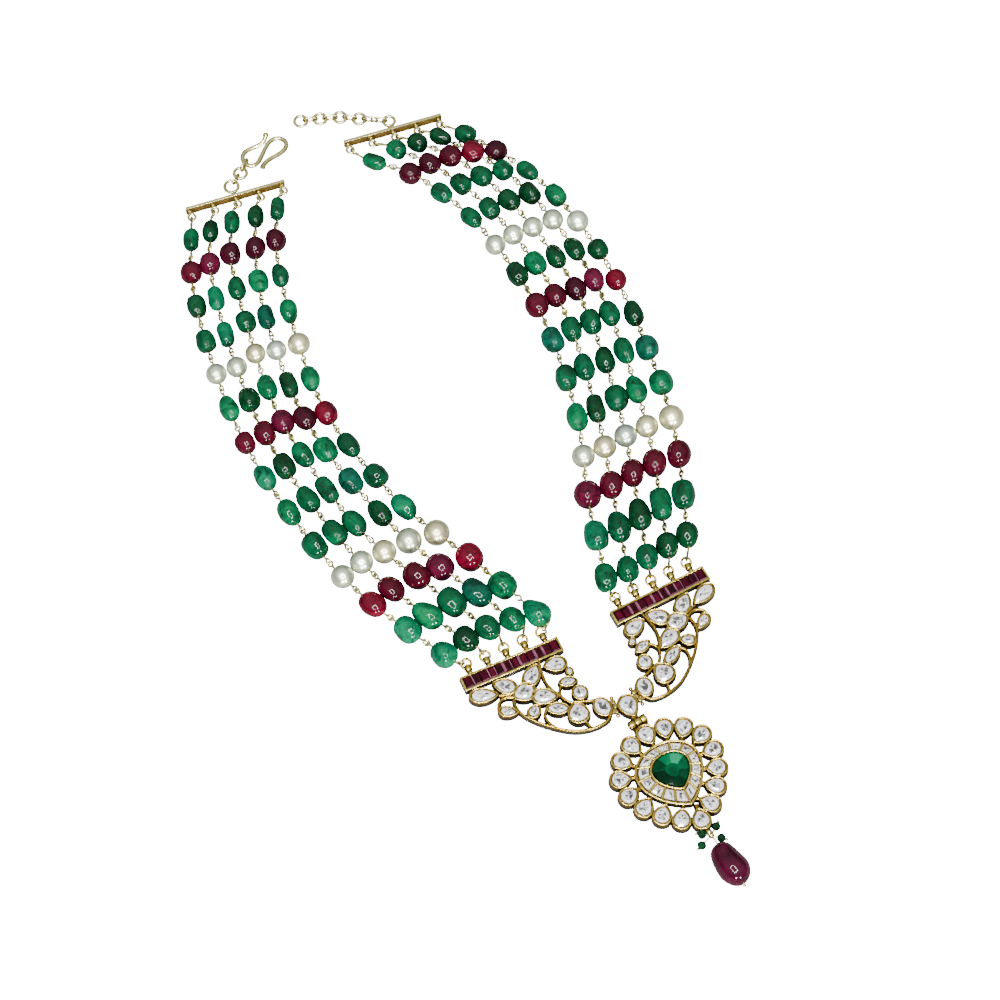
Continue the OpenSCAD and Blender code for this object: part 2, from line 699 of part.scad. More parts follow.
// Centre link: one pear setting with the middle knuckle of each hinge soldered to it
link_stone = [0, -0.6, 7.2, 5.8, -90, 0.6, 0];
link_rim = 0.95;
bail_knuckle_r = 1.35;
bail_mid_len = 1.5;
bail_side_len = 2.2;
bail_gap = 0.2;
bail_bore_r = 0.6;
bail_pin_r = 0.5;
bail_head_r = 0.8;
bail_head_len = 0.4;
module bail_cylinder(x, length, r) {
    translate([x - length / 2, 0, bail_z])
        rotate([0, 90, 0])
            cylinder(h = length, r = r);
}
module on_both_sides() {
    children();
    mirror([1, 0, 0])
        children();
}
module centre_link() {
    color(gold)
        difference() {
            union() {
                difference() {
                    linear_extrude(height = plate_top)
                        bezel_2d(link_stone, link_rim);
                    translate([0, 0, gold_base])
                        linear_extrude(height = plate_top)
                            pocket_2d(link_stone);
                    on_both_sides()
                        on_link_hinge()
                            for (step = [-1, 1])
                                knuckle(step, knuckle_len + 2 * cut_clear, hinge_r + cut_clear);
                }
                on_both_sides()
                    on_link_hinge() {
                        knuckle(0, knuckle_len, hinge_r);
                        translate([-link_web, -knuckle_len / 2, web_low])
                            cube([link_web, knuckle_len, web_high - web_low]);
                        knuckle(0, 3 * knuckle_step + hinge_ball_r, hinge_pin_r);
                        for (end = [-1, 1])
                            ball([0, end * (1.5 * knuckle_step + hinge_ball_r), hinge_z], hinge_ball_r);
                    }
                on_pendant()
                    bail_cylinder(0, bail_mid_len, bail_knuckle_r);
                translate([-bail_mid_len / 2, bail_y, web_low])
                    cube([bail_mid_len, 2.6, web_high - web_low]);
            }
            on_pendant()
                bail_cylinder(0, 2 * bail_mid_len, bail_bore_r);
        }
}
module centre_stone() {
    color(diamond_white)
        stone_at(link_stone);
}
module bail_pin() {
    half = bail_mid_len / 2 + bail_gap + bail_side_len;
    color(gold)
        on_pendant() {
            bail_cylinder(0, 2 * half + 2 * bail_head_len, bail_pin_r);
            for (end = [-1, 1])
                bail_cylinder(end * (half + bail_gap + bail_head_len / 2), bail_head_len, bail_head_r);
        }
}

// Pendant, drawn from its hinge down along -Y
petal_line_len = 36;
petal_line_w = 34.4;
petal_line_y = -23.9;
petal_stone = [5.9, 5.2];
petal_rim = 0.8;
petal_tail = 1.6;
ring_y = -23.25;
ring_len = 25.3;
ring_w = 24.9;
ring_rim = 0.75;
emerald_at = [0.7, -22.1];
emerald_len = 13.6;
emerald_w = 13.4;
emerald_rim = 0.65;
bracket_len = 3.8;
pear_tip = 0.6;
function closed(points) = concat(points, [points[0]]);
function pear_down(l, w, at, n) = placed(pear(l, w, pear_tip, 0, n), at, -90);
// Places at equal steps along a closed line, from its top: [x, y, heading]
function from_top(loop) =
    let (n = len(loop) / 2) [for (i = [0 : len(loop)]) loop[(i + n) % len(loop)]];
function spread(loop, count) =
    let (line = from_top(loop), sums = path_sums(line), whole = sums[len(sums) - 1])
    [for (k = [0 : count - 1]) path_at(line, sums, whole * k / count)];
petal_places = spread(pear_down(petal_line_len, petal_line_w, [0, petal_line_y], 96), petal_count);
function petal(p) = [p[0], p[1], petal_stone[0], petal_stone[1], p[2] + 90, 0.5, 0];
// Cells of the stone ring: the outline of one cell between the two pear lines
ring_outer = pear_down(ring_len - 2 * ring_rim, ring_w - 2 * ring_rim, [0, ring_y], 96);
ring_inner = pear_down(emerald_len + 2 * emerald_rim, emerald_w + 2 * emerald_rim, emerald_at, 96);
cell_points = 3;
function cell(k) =
    let (
        a = spread(ring_outer, ring_stone_count * (cell_points - 1)),
        b = spread(ring_inner, ring_stone_count * (cell_points - 1)),
        m = len(a),
        s = k * (cell_points - 1)
    )
    concat([for (i = [0 : cell_points - 1]) flat(a[(s + i) % m])],
        [for (i = [cell_points - 1 : -1 : 0]) flat(b[(s + i) % m])]);
function middle(points) = [for (i = [0, 1]) total([for (p = points) p[i]]) / len(points)];
cell_pocket_k = 0.86;
cell_stone_k = 0.81;
module pendant_2d() {
    offset(r = -fillet, $fn = 8)
        offset(delta = fillet)
            union() {
                for (p = petal_places) {
                    bezel_2d(petal(p), petal_rim);
                    translate(flat(p))
                        rotate(p[2] + 90)
                            translate([petal_stone[0] / 2, -rib_w / 2])
                                square([petal_tail + rib_w, rib_w]);
                }
                polygon(pear_down(ring_len, ring_w, [0, ring_y], 64));
            }
}
module pendant_frame() {
    color(gold)
        on_pendant()
            difference() {
                union() {
                    translate([0, 0, gold_base])
                        linear_extrude(height = plate_top - gold_base)
                            difference() {
                                pendant_2d();
                                for (p = petal_places)
                                    pocket_2d(petal(p));
                                for (k = [0 : ring_stone_count - 1])
                                    polygon(scaled(cell(k), middle(cell(k)), cell_pocket_k));
                                polygon(pear_down(emerald_len, emerald_w, emerald_at, 32));
                            }
                    for (side = [-1, 1]) {
                        x = side * (bail_mid_len / 2 + bail_gap + bail_side_len / 2);
                        bail_cylinder(x, bail_side_len, bail_knuckle_r);
                        translate([x - bail_side_len / 2, -bracket_len, gold_base])
                            cube([bail_side_len, bracket_len, web_high - web_low]);
                    }
                }
                translate([0, 0, gold_base - EPS])
                    linear_extrude(height = plate_top)
                        pocket_2d(petal(petal_places[0]));
                bail_cylinder(0, 4 * bail_side_len, bail_bore_r);
            }
}
module pendant_enamel() {
    color(enamel_green)
        on_pendant()
            linear_extrude(height = enamel_thick)
                pendant_2d();
}
module petal_stones() {
    color(diamond_white)
        on_pendant()
            for (p = petal_places)
                stone_at(petal(p));
}
module ring_stones() {
    color(diamond_white)
        on_pendant()
            for (k = [0 : ring_stone_count - 1])
                cut_stone(scaled(cell(k), middle(cell(k)), cell_stone_k), middle(cell(k)), 0.75, 0.7);
}
emerald_levels = [[gold_base + layer_gap, 0.5], [2.2, 0.85], [3, 1], [3.4, 0.97], [4.1, 0.72], [4.5, 0.3]];
module pendant_emerald() {
    outline = pear_down(emerald_len - 2 * stone_gap, emerald_w - 2 * stone_gap, emerald_at, 16);
    color(emerald_green)
        on_pendant()
            skin([for (l = emerald_levels)
                [for (p = scaled(outline, emerald_at, l[1])) [p.x, p.y, l[0]]]]);
}

// Drop: cap ball, cluster of small beads on wires, and the drilled red drop
cap_at = [-0.2, -47, 2.2];
cap_r = 1.05;
hub_at = [-0.1, -48.6, 2.4];
hub_r = 0.75;
hub_skip = 0.6;
hanger_wire_r = 0.22;
hanger_joint_r = 0.4;
joint_skip = 0.28;
cluster_places = [[3.2, -46.4, 1.7], [-2.75, -46.7, 2.6], [-4.7, -49.8, 1.6], [2.55, -50.9, 1.7]];
cluster_r = 1.35;
cluster_ball_r = 0.5;
drop_top_y = -53;
drop_x = -0.6;
drop_z = drop_w / 2;
drop_end_r = 0.6;
// Columns: share of the length from the top, share of the half width
drop_profile = [[0, 0.2], [0.03, 0.4], [0.1, 0.64], [0.22, 0.84], [0.38, 0.95], [0.56, 1],
    [0.72, 0.96], [0.86, 0.8], [0.95, 0.55], [1, 0.2]];
// Wire from a to b that begins and ends a little way from both points
module stub(a, b, skip_a, skip_b) {
    way = unit(b - a);
    rod(a + way * skip_a, b - way * skip_b, hanger_wire_r);
}
module drop_hanger() {
    drop_start = [drop_x, drop_top_y + 1.2, drop_z];
    drop_stop = [drop_x, drop_top_y - drop_len - drop_end_r, drop_z];
    color(gold)
        on_pendant()
            union() {
                ball(cap_at, cap_r);
                ball(hub_at, hub_r);
                stub(hub_at, drop_start, hub_skip, joint_skip);
                ball(drop_start, hanger_joint_r);
                stub(drop_start, drop_stop, joint_skip, 0);
                ball(drop_stop, drop_end_r);
                for (p = cluster_places) {
                    stop = p + unit(p - hub_at) * (cluster_r + cluster_ball_r);
                    stub(hub_at, stop, hub_skip, 0);
                    ball(stop, cluster_ball_r);
                }
            }
}
module drop_cluster() {
    profile = [for (i = [0 : 6])
        let (t = -70 + 140 * i / 6) [cluster_r * cos(t), cluster_r * sin(t)]];
    bore = hanger_wire_r + stone_gap;
    top = cluster_r * sin(70);
    color(emerald_green)
        on_pendant()
            for (p = cluster_places) {
                d = p - hub_at;
                translate(p)
                    rotate([0, acos(d.z / norm(d)), atan2(d.y, d.x)])
                        rotate_extrude()
                            polygon(concat([[bore, -top]], profile, [[bore, top]]));
            }
}
module ruby_drop() {
    bore = hanger_wire_r + stone_gap;
    color(ruby_red)
        on_pendant()
            translate([drop_x, drop_top_y, drop_z])
                rotate([90, 0, 0])
                    rotate_extrude()
                        polygon(concat([[bore, 0]],
                            [for (p = drop_profile) [p[1] * drop_w / 2, p[0] * drop_len]],
                            [[bore, drop_len]]));
}

left_end_bar();
right_end_bar();
hook();
hook_ring();
hook_links();
chain_rings();
chain_links();
left_strand_1();
left_strand_2();
left_strand_3();
left_strand_4();
left_strand_5();
right_strand_1();
right_strand_2();
right_strand_3();
right_strand_4();
right_strand_5();
left_thread_1();
left_thread_2();
left_thread_3();
left_thread_4();
left_thread_5();
right_thread_1();
right_thread_2();
right_thread_3();
right_thread_4();
right_thread_5();
left_post_rings();
right_post_rings();
left_panel();
right_panel();
left_panel_enamel();
right_panel_enamel();
left_panel_stones();
right_panel_stones();
left_ruby_row();
right_ruby_row();
centre_link();
centre_stone();
bail_pin();
pendant_frame();
pendant_enamel();
petal_stones();
ring_stones();
pendant_emerald();
drop_hanger();
drop_cluster();
ruby_drop();
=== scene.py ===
import math
import random

import bmesh
import bpy
from mathutils import Matrix, Vector


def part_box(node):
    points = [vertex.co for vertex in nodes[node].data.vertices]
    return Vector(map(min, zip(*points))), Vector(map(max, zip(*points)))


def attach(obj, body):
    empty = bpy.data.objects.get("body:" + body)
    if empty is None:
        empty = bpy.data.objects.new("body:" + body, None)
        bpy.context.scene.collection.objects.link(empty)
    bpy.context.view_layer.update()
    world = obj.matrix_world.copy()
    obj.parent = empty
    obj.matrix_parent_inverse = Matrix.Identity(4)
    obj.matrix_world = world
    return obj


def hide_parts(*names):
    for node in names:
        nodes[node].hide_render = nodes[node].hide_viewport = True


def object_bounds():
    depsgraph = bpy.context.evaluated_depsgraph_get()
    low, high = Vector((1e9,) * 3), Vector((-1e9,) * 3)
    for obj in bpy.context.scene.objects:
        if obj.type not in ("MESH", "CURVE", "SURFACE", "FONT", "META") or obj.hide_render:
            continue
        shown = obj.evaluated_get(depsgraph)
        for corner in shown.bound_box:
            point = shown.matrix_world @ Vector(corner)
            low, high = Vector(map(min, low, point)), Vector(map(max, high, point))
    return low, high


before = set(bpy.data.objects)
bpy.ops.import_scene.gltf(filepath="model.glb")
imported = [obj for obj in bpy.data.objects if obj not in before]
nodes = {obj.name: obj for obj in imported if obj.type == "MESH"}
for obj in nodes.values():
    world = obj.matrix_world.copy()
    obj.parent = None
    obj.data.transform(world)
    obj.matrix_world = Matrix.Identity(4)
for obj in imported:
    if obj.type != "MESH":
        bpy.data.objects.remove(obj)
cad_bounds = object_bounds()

MM = 0.001


# Camera: a long lens looks down on the table from the pendant's left, 64 degrees above it.
camera_at = Vector((-0.2226, -0.3318, 0.9805))
camera_forward = Vector((0.2018, 0.3892, -0.8988)).normalized()
camera_lens_mm = 108
camera_sensor_mm = 36

camera_data = bpy.data.cameras.new("camera")
camera_data.lens = camera_lens_mm
camera_data.sensor_width = camera_sensor_mm
camera_data.sensor_fit = "HORIZONTAL"
camera_data.clip_start = 0.01
camera_data.clip_end = 10
camera = bpy.data.objects.new("camera", camera_data)
bpy.context.scene.collection.objects.link(camera)
camera.location = camera_at
camera.rotation_euler = camera_forward.to_track_quat("-Z", "Y").to_euler()
bpy.context.scene.camera = camera


# Table and light: a plain white table top and backdrop. Two soft boxes overhead light them,
# two low boxes in front put the paired highlights on the beads, and a square frame of tubes
# round the lens puts the small squares there.
table_size = 4.0
table_thick = 0.004
table_top = -0.00002
table_white = 0.26
table_roughness = 0.85
table_glow = 24.0
necklace_middle = Vector((0, 0.1, 0))
# Name, place, width, height, watts
top_boxes = [("top_box_left", (-0.85, 0.50, 1.15), 0.9, 0.9, 26),
             ("top_box_right", (1.00, 0.15, 1.10), 0.7, 0.7, 10)]
front_boxes = [("front_box_left", (-0.60, -1.15, 0.32), 0.15, 0.17, 26),
               ("front_box_right", (0.05, -1.25, 0.32), 0.13, 0.17, 20)]
lens_frame_half = 0.32
lens_frame_tube = 0.020
lens_frame_watts = 13.0
lens_frame_roll = math.radians(40)
# Height on the sky's own ball, colour
sky_stops = [(0.12, (0.07, 0.07, 0.08)), (0.82, (1, 1, 1))]
sky_strength = 0.95

def deselect():
    bpy.ops.object.select_all(action="DESELECT")

def shader_of(material):
    return material.node_tree.nodes["Principled BSDF"]

def new_material(name):
    material = bpy.data.materials.new(name)
    material.use_nodes = True
    return material

def node_in(material, kind, **settings):
    node = material.node_tree.nodes.new(kind)
    for key, value in settings.items():
        if key in node.inputs:
            node.inputs[key].default_value = value
        else:
            setattr(node, key, value)
    return node

def wire_up(material, source, target):
    material.node_tree.links.new(source, target)

def ramp_of(material, value, stops):
    """A colour ramp on a value. Stops are (position, colour)."""
    ramp = node_in(material, "ShaderNodeValToRGB")
    elements = ramp.color_ramp.elements
    while len(elements) < len(stops):
        elements.new(0.5)
    for element, (position, colour) in zip(elements, stops):
        element.position = position
        element.color = (*colour, 1)
    wire_up(material, value, ramp.inputs["Fac"])
    return ramp.outputs["Color"]

deselect()
bpy.ops.mesh.primitive_cube_add(size=1, location=(0, 0.1, table_top - table_thick / 2))
table = bpy.context.object
table.name = "table"
table.scale = (table_size, table_size, table_thick)
bpy.ops.object.transform_apply(location=True, rotation=True, scale=True)
table_paint = new_material("table_paint")
table_shader = shader_of(table_paint)
table_shader.inputs["Base Color"].default_value = (table_white, table_white, table_white, 1)
table_shader.inputs["Roughness"].default_value = table_roughness
table_shader.inputs["Emission Color"].default_value = (1, 1, 1, 1)
table_rays = node_in(table_paint, "ShaderNodeLightPath")
table_lift = node_in(table_paint, "ShaderNodeMath", operation="MULTIPLY")
table_lift.inputs[1].default_value = table_glow
wire_up(table_paint, table_rays.outputs["Is Camera Ray"], table_lift.inputs[0])
wire_up(table_paint, table_lift.outputs[0], table_shader.inputs["Emission Strength"])
table.data.materials.append(table_paint)

def add_box_light(name, at, target, width, height, watts, roll=0.0):
    data = bpy.data.lights.new(name, "AREA")
    data.shape = "RECTANGLE"
    data.size = width
    data.size_y = height
    data.energy = watts
    light = bpy.data.objects.new(name, data)
    bpy.context.scene.collection.objects.link(light)
    light.location = at
    aim = (Vector(target) - Vector(at)).to_track_quat("-Z", "Y")
    light.rotation_euler = (aim.to_matrix() @ Matrix.Rotation(roll, 3, "Z")).to_euler()
    return light

for name, at, width, height, watts in top_boxes:
    add_box_light(name, at, necklace_middle, width, height, watts).visible_glossy = False
for name, at, width, height, watts in front_boxes:
    add_box_light(name, at, necklace_middle, width, height, watts)
camera_turn = camera_forward.to_track_quat("-Z", "Y").to_matrix()
for k in range(4):
    side_turn = lens_frame_roll + k * math.pi / 2
    offset = camera_turn @ Vector((math.cos(side_turn), math.sin(side_turn), 0))
    tube_at = camera_at + offset * lens_frame_half
    tube = add_box_light(f"lens_tube_{k + 1}", tube_at, tube_at + camera_forward,
                         lens_frame_tube, 2 * lens_frame_half, lens_frame_watts, side_turn)
    tube.visible_diffuse = False

world = bpy.data.worlds.new("studio")
bpy.context.scene.world = world
world.use_nodes = True
sky_place = node_in(world, "ShaderNodeTexCoord")
sky_split = node_in(world, "ShaderNodeSeparateXYZ")
wire_up(world, sky_place.outputs["Generated"], sky_split.inputs[0])
sky = world.node_tree.nodes["Background"]
sky.inputs["Strength"].default_value = sky_strength
wire_up(world, ramp_of(world, sky_split.outputs["Z"], sky_stops), sky.inputs["Color"])
backdrop = node_in(world, "ShaderNodeBackground", Strength=table_glow)
world_rays = node_in(world, "ShaderNodeLightPath")
world_mix = node_in(world, "ShaderNodeMixShader")
world_end = world.node_tree.nodes["World Output"]
for source, target in ((world_rays.outputs["Is Camera Ray"], world_mix.inputs["Fac"]),
                       (sky.outputs[0], world_mix.inputs[1]),
                       (backdrop.outputs[0], world_mix.inputs[2]),
                       (world_mix.outputs[0], world_end.inputs["Surface"])):
    wire_up(world, source, target)


# Bead strands: tumbled emeralds and rubies and round pearls, each drilled along its length
# and polished. Eight bead shapes are modelled once, and every bead of the CAD strands gets
# a copy of the shape listed for it, sized to its own length and width, rolled about its hole.
strand_count = 5
middle_strand = 2
bead_order = "GRGGPGRGGGPRGG"
sides = {"left": -1, "right": 1}
shapes = {
    "left": ["lrbbporoobprnf", "orllpbrbobprof", "lronporoloprbf", "orblplrbboprof",
             "lrooporonoprnd"],
    "right": ["brobpnronnprbf", "ornbporoooprlf", "nrbbporbobprof", "nrbbpbrbolprof",
              "lrbopbrbboprbn"],
}
# Tone of each bead, from the end bar to the panel. Greens: d dark, m middle, b bright,
# t bluish, j pale. Reds: p plum, c crimson, k pink, s scarlet. Pearls: w white, y cream, g grey.
tones = {
    "left": ["mcdmwbcjbmwsjj", "dkjjwdcdmmwcbd", "bpmmybkmmmycmm", "dpbtgdpbtdwktb",
             "mpmbybsmmjysbj"],
    "right": ["mpmbwdsdtbycmd", "dsbdwdkmmbycmd", "dcmdwdpmdmgcdm", "bpmmwbcmmdycmm",
              "bpmmwdctmbwkjm"],
}
tone_colours = {
    "d": (0.000, 0.028, 0.008), "m": (0.000, 0.051, 0.018), "b": (0.000, 0.079, 0.027),
    "t": (0.000, 0.058, 0.032), "j": (0.000, 0.099, 0.042),
    "p": (0.028, 0.001, 0.006), "c": (0.048, 0.001, 0.007), "k": (0.067, 0.002, 0.016),
    "s": (0.092, 0.001, 0.010),
    "w": (0.735, 0.844, 0.630), "y": (0.777, 0.757, 0.441), "g": (0.609, 0.746, 0.630),
}
bead_segments = 24
bead_rings = 14
hole_r = 0.5
hole_depth = 0.8
hole_mouth = 0.22
mouth_patch = 2.6
dent_count = 7
# Shares of a bead's length or width: how far from its middle the dents lie, how far from its
# axis, the patch that one pushes, and how far the push and the narrowing of an end reach
dent_range = 0.36
dent_out = 0.45
dent_patch = 0.24
dent_reach = 0.5
taper_from = 0.36
taper_reach = 0.7
# How much longer and wider the stones may be than the turned solids under them
bead_growth = {"G": (1.06, 1.15), "R": (1.13, 1.18), "P": (1.12, 1.12)}
last_growth = (1.10, 1.30)
last_beads = 12
pear_growth = (1.30, 1.20)
bead_clear = 0.05
edge_clear = 0.15
edge_slack = 0.4
tone_spread = 0.15
# Where the nearest bead of a strand is looked for first: the middle of the necklace's back
strand_start_y = 262
strand_start_z = 3
# Each shape: length, width, boxiness, how far one end is narrowed, size of its dents
bead_shapes = {
    "l": (11.4, 6.1, 0.24, 0.010, 0.25), "o": (11.0, 6.9, 0.06, 0.030, 0.25),
    "b": (10.3, 7.5, 0.20, 0.010, 0.25), "n": (9.5, 8.0, 0.12, 0.025, 0.35),
    "f": (8.8, 7.3, 0.04, 0.030, 0.25), "r": (9.4, 8.4, 0.06, 0.010, 0.25),
    "p": (8.6, 8.6, 0.0, 0.0, 0.0), "d": (9.4, 7.8, 0.0, 0.130, 0.0),
}
# A face looks along an axis when its normal has more than this share of it
looks_along = 0.9
end_share = 0.9
random.seed(11)

def make_active(obj):
    deselect()
    obj.select_set(True)
    bpy.context.view_layer.objects.active = obj

def start_edit(obj, whole=False):
    make_active(obj)
    bpy.ops.object.mode_set(mode="EDIT")
    bpy.ops.mesh.select_mode(type="FACE")
    if whole:
        bpy.ops.mesh.select_all(action="SELECT")

def end_edit():
    bpy.ops.object.mode_set(mode="OBJECT")

def pick_faces(obj, test):
    """Selects the faces whose middle passes the test, in millimetres, and no others."""
    mesh = bmesh.from_edit_mesh(obj.data)
    bpy.ops.mesh.select_mode(type="FACE")
    for face in mesh.faces:
        face.select_set(bool(test(face.calc_center_median() / MM, face.normal)))
    mesh.select_flush_mode()
    bmesh.update_edit_mesh(obj.data)

def pick_verts(obj, test):
    """Selects the vertices that pass the test, in millimetres, and no others."""
    mesh = bmesh.from_edit_mesh(obj.data)
    bpy.ops.mesh.select_mode(type="VERT")
    for face in mesh.faces:
        face.select_set(False)
    for vert in mesh.verts:
        vert.select_set(bool(test(vert.co / MM)))
    bmesh.update_edit_mesh(obj.data)

def bake_place(obj, matrix=None):
    """Puts the object's own place, and a further one, into its mesh."""
    if matrix is not None:
        obj.matrix_world = matrix @ obj.matrix_world
    make_active(obj)
    bpy.ops.object.transform_apply(location=True, rotation=True, scale=True)

def new_shape(add, matrix=None, **settings):
    """A basic mesh from one of Blender's own operators, with its place baked in."""
    deselect()
    add(**settings)
    shape = bpy.context.object
    bake_place(shape, matrix)
    return shape

def apply_modifiers(obj):
    make_active(obj)
    for modifier in list(obj.modifiers):
        bpy.ops.object.modifier_apply(modifier=modifier.name)

def join_as(name, parts):
    deselect()
    for part in parts:
        part.select_set(True)
    bpy.context.view_layer.objects.active = parts[0]
    if len(parts) > 1:
        bpy.ops.object.join()
    piece = bpy.context.object
    piece.name = name
    piece.data.name = name
    return piece

def copy_of(master, matrix):
    """A copy with its own mesh, placed by the matrix."""
    copy = master.copy()
    copy.data = master.data.copy()
    bpy.context.scene.collection.objects.link(copy)
    copy.data.transform(matrix)
    copy.matrix_world = Matrix.Identity(4)
    return copy

def remove(obj):
    bpy.data.objects.remove(obj, do_unlink=True)

def smooth(obj, degrees):
    make_active(obj)
    bpy.ops.object.shade_smooth_by_angle(angle=math.radians(degrees), keep_sharp_edges=True)

def soft_edit(reach):
    """Settings of a transform that fades out over so many millimetres."""
    return {"use_proportional_edit": True, "proportional_edit_falloff": "SMOOTH",
            "proportional_size": reach * MM}

def extent(obj):
    corners = [Vector(c) for c in obj.bound_box]
    low = Vector([min(c[i] for c in corners) for i in range(3)])
    high = Vector([max(c[i] for c in corners) for i in range(3)])
    return low, high

def fit_to(obj, low, high):
    """Resizes the mesh so that it fills the box from low to high, in millimetres."""
    bpy.context.view_layer.update()
    have_low, have_high = extent(obj)
    size = [(high[i] - low[i]) * MM / (have_high[i] - have_low[i]) for i in range(3)]
    move = [low[i] * MM - have_low[i] * size[i] for i in range(3)]
    obj.data.transform(Matrix.Translation(move) @ Matrix.Diagonal((*size, 1)))

def drill_ends(obj, axis, half, radius, depth):
    """Sinks a small hole into both ends of a body that lies along an axis."""
    def off_axis(c):
        return math.hypot(*[c[i] for i in range(3) if i != axis])
    start_edit(obj)
    for sign in (-1, 1):
        def at_end(c, n, sign=sign):
            return sign * c[axis] > end_share * half and sign * n[axis] > looks_along and \
                off_axis(c) < mouth_patch * radius
        pick_faces(obj, at_end)
        bpy.ops.mesh.inset(thickness=hole_mouth * MM)
        mesh = bmesh.from_edit_mesh(obj.data)
        mouth = max(off_axis(v.co) for v in mesh.verts if v.select)
        grow = [radius * MM / mouth] * 3
        grow[axis] = 1
        bpy.ops.transform.resize(value=grow)
        sink = [0, 0, 0]
        sink[axis] = -sign * depth * MM
        bpy.ops.mesh.extrude_region_move(TRANSFORM_OT_translate={"value": sink})
    end_edit()

def model_bead(letter):
    length, width, boxiness, taper, dents = bead_shapes[letter]
    bead = new_shape(bpy.ops.mesh.primitive_uv_sphere_add, segments=bead_segments,
                     ring_count=bead_rings, radius=width / 2 * MM, rotation=(0, math.pi / 2, 0))
    bead.name = "bead_shape_" + letter
    start_edit(bead, whole=True)
    bpy.ops.transform.resize(value=(length / width, 1, 1))
    if taper:
        pick_verts(bead, lambda c: c.x > taper_from * length)
        bpy.ops.transform.resize(value=(1, 1 - 2.4 * taper, 1 - 2 * taper),
                                 **soft_edit(taper_reach * length))
    if dents:
        for k in range(dent_count):
            turn = random.uniform(0, 2 * math.pi)
            along = random.uniform(-dent_range, dent_range) * length
            way = Vector((random.uniform(-0.4, 0.4), math.cos(turn), math.sin(turn)))
            spot = Vector((along, 0, 0)) + way * width * dent_out
            pick_verts(bead, lambda c: (c - spot).length < dent_patch * width)
            push = way * dents * MM * random.choice((-1, -1, 0.8))
            bpy.ops.transform.translate(value=push, **soft_edit(dent_reach * width))
    end_edit()
    if boxiness:
        cast = bead.modifiers.new("blunt", "CAST")
        cast.cast_type = "CUBOID"
        cast.factor = boxiness
        apply_modifiers(bead)
    fit_to(bead, (-length / 2, -width / 2, -width / 2), (length / 2, width / 2, width / 2))
    drill_ends(bead, 0, length / 2, hole_r, hole_depth)
    smooth(bead, 40)
    return bead

bead_models = {letter: model_bead(letter) for letter in bead_shapes}

def noise_at(material, scale, detail=3.0, distortion=0.0, stretch=None):
    """Noise in the object's own metres, so a scale of 300 gives marks of about 3 mm."""
    place = node_in(material, "ShaderNodeTexCoord")
    noise = node_in(material, "ShaderNodeTexNoise", Scale=scale, Detail=detail,
                    Distortion=distortion)
    vector = place.outputs["Object"]
    if stretch:
        mapping = node_in(material, "ShaderNodeMapping", Scale=stretch)
        wire_up(material, vector, mapping.inputs["Vector"])
        vector = mapping.outputs["Vector"]
    wire_up(material, vector, noise.inputs["Vector"])
    return noise.outputs["Fac"]

def blend_colours(material, mode, share, first, second):
    mix = node_in(material, "ShaderNodeMix", data_type="RGBA", blend_type=mode)
    for value, socket in ((share, mix.inputs[0]), (first, mix.inputs[6]), (second, mix.inputs[7])):
        if isinstance(value, bpy.types.NodeSocket):
            wire_up(material, value, socket)
        elif isinstance(value, tuple):
            socket.default_value = (*value, 1)
        else:
            socket.default_value = value
    return mix.outputs[2]

def grey(value):
    return (value, value, value)

def tone_of(material):
    return node_in(material, "ShaderNodeAttribute", attribute_name="tone").outputs["Color"]

def clouded(material, colour, noise, stops):
    """A colour with clouds of lighter and darker places. Stops are (position, colour)."""
    clouds = ramp_of(material, noise_at(material, *noise), stops)
    return blend_colours(material, "MULTIPLY", 1.0, colour, clouds)

def finish_surface(material, base, gloss_noise, gloss, relief_noise, relief, constants,
                   gloss_end=0.8):
    """Joins a base colour, a roughness from the first gloss value to the second, and a relief
    of a strength and a depth in millimetres, and sets the shader's constants."""
    shader = shader_of(material)
    wire_up(material, base, shader.inputs["Base Color"])
    marks = ramp_of(material, noise_at(material, *gloss_noise),
                    [(0.3, grey(gloss[0])), (gloss_end, grey(gloss[1]))])
    wire_up(material, marks, shader.inputs["Roughness"])
    bump = node_in(material, "ShaderNodeBump", Strength=relief[0], Distance=relief[1] * MM)
    wire_up(material, noise_at(material, *relief_noise), bump.inputs["Height"])
    wire_up(material, bump.outputs["Normal"], shader.inputs["Normal"])
    for name, value in constants.items():
        shader.inputs[name].default_value = value
    return material

def stone_material(name, cloud_low, cloud_high, vein, glow):
    """Polished included stone: cloudy colour, thin dark veins, a lighter glow inside."""
    material = new_material(name)
    base = clouded(material, tone_of(material), (190, 5, 1.0),
                   [(0.30, grey(cloud_low)), (0.70, grey(cloud_high))])
    veins = ramp_of(material, noise_at(material, 260, 5, 1.6, (1, 1, 0.6)),
                    [(0.0, grey(0)), (0.56, grey(0)), (0.70, grey(0.8)), (1.0, grey(0.9))])
    base = blend_colours(material, "MIX", veins, base, vein)
    return finish_surface(material, base, (900, 2), (0.04, 0.12), (300, 2), (0.05, 0.25), {
        "IOR": 1.58, "Specular IOR Level": 0.17, "Subsurface Weight": 0.06,
        "Subsurface Radius": glow, "Subsurface Scale": 1.2 * MM})

emerald_stone = stone_material("emerald_stone", 0.42, 1.75, (0.000, 0.010, 0.004), (0.2, 1.0, 0.5))
ruby_stone = stone_material("ruby_stone", 0.60, 1.45, (0.016, 0.000, 0.004), (1.0, 0.2, 0.3))

pearl_skin = new_material("pearl_skin")
pearl_colour = clouded(pearl_skin, tone_of(pearl_skin), (180, 3),
                       [(0.30, (0.93, 0.90, 0.87)), (0.70, (1.0, 1.0, 1.0))])
finish_surface(pearl_skin, pearl_colour, (700, 2), (0.28, 0.34), (350, 2), (0.02, 0.2),
               {"Metallic": 0.82, "Coat Weight": 1.0, "Coat Roughness": 0.05})

bead_materials = {"G": emerald_stone, "R": ruby_stone, "P": pearl_skin}

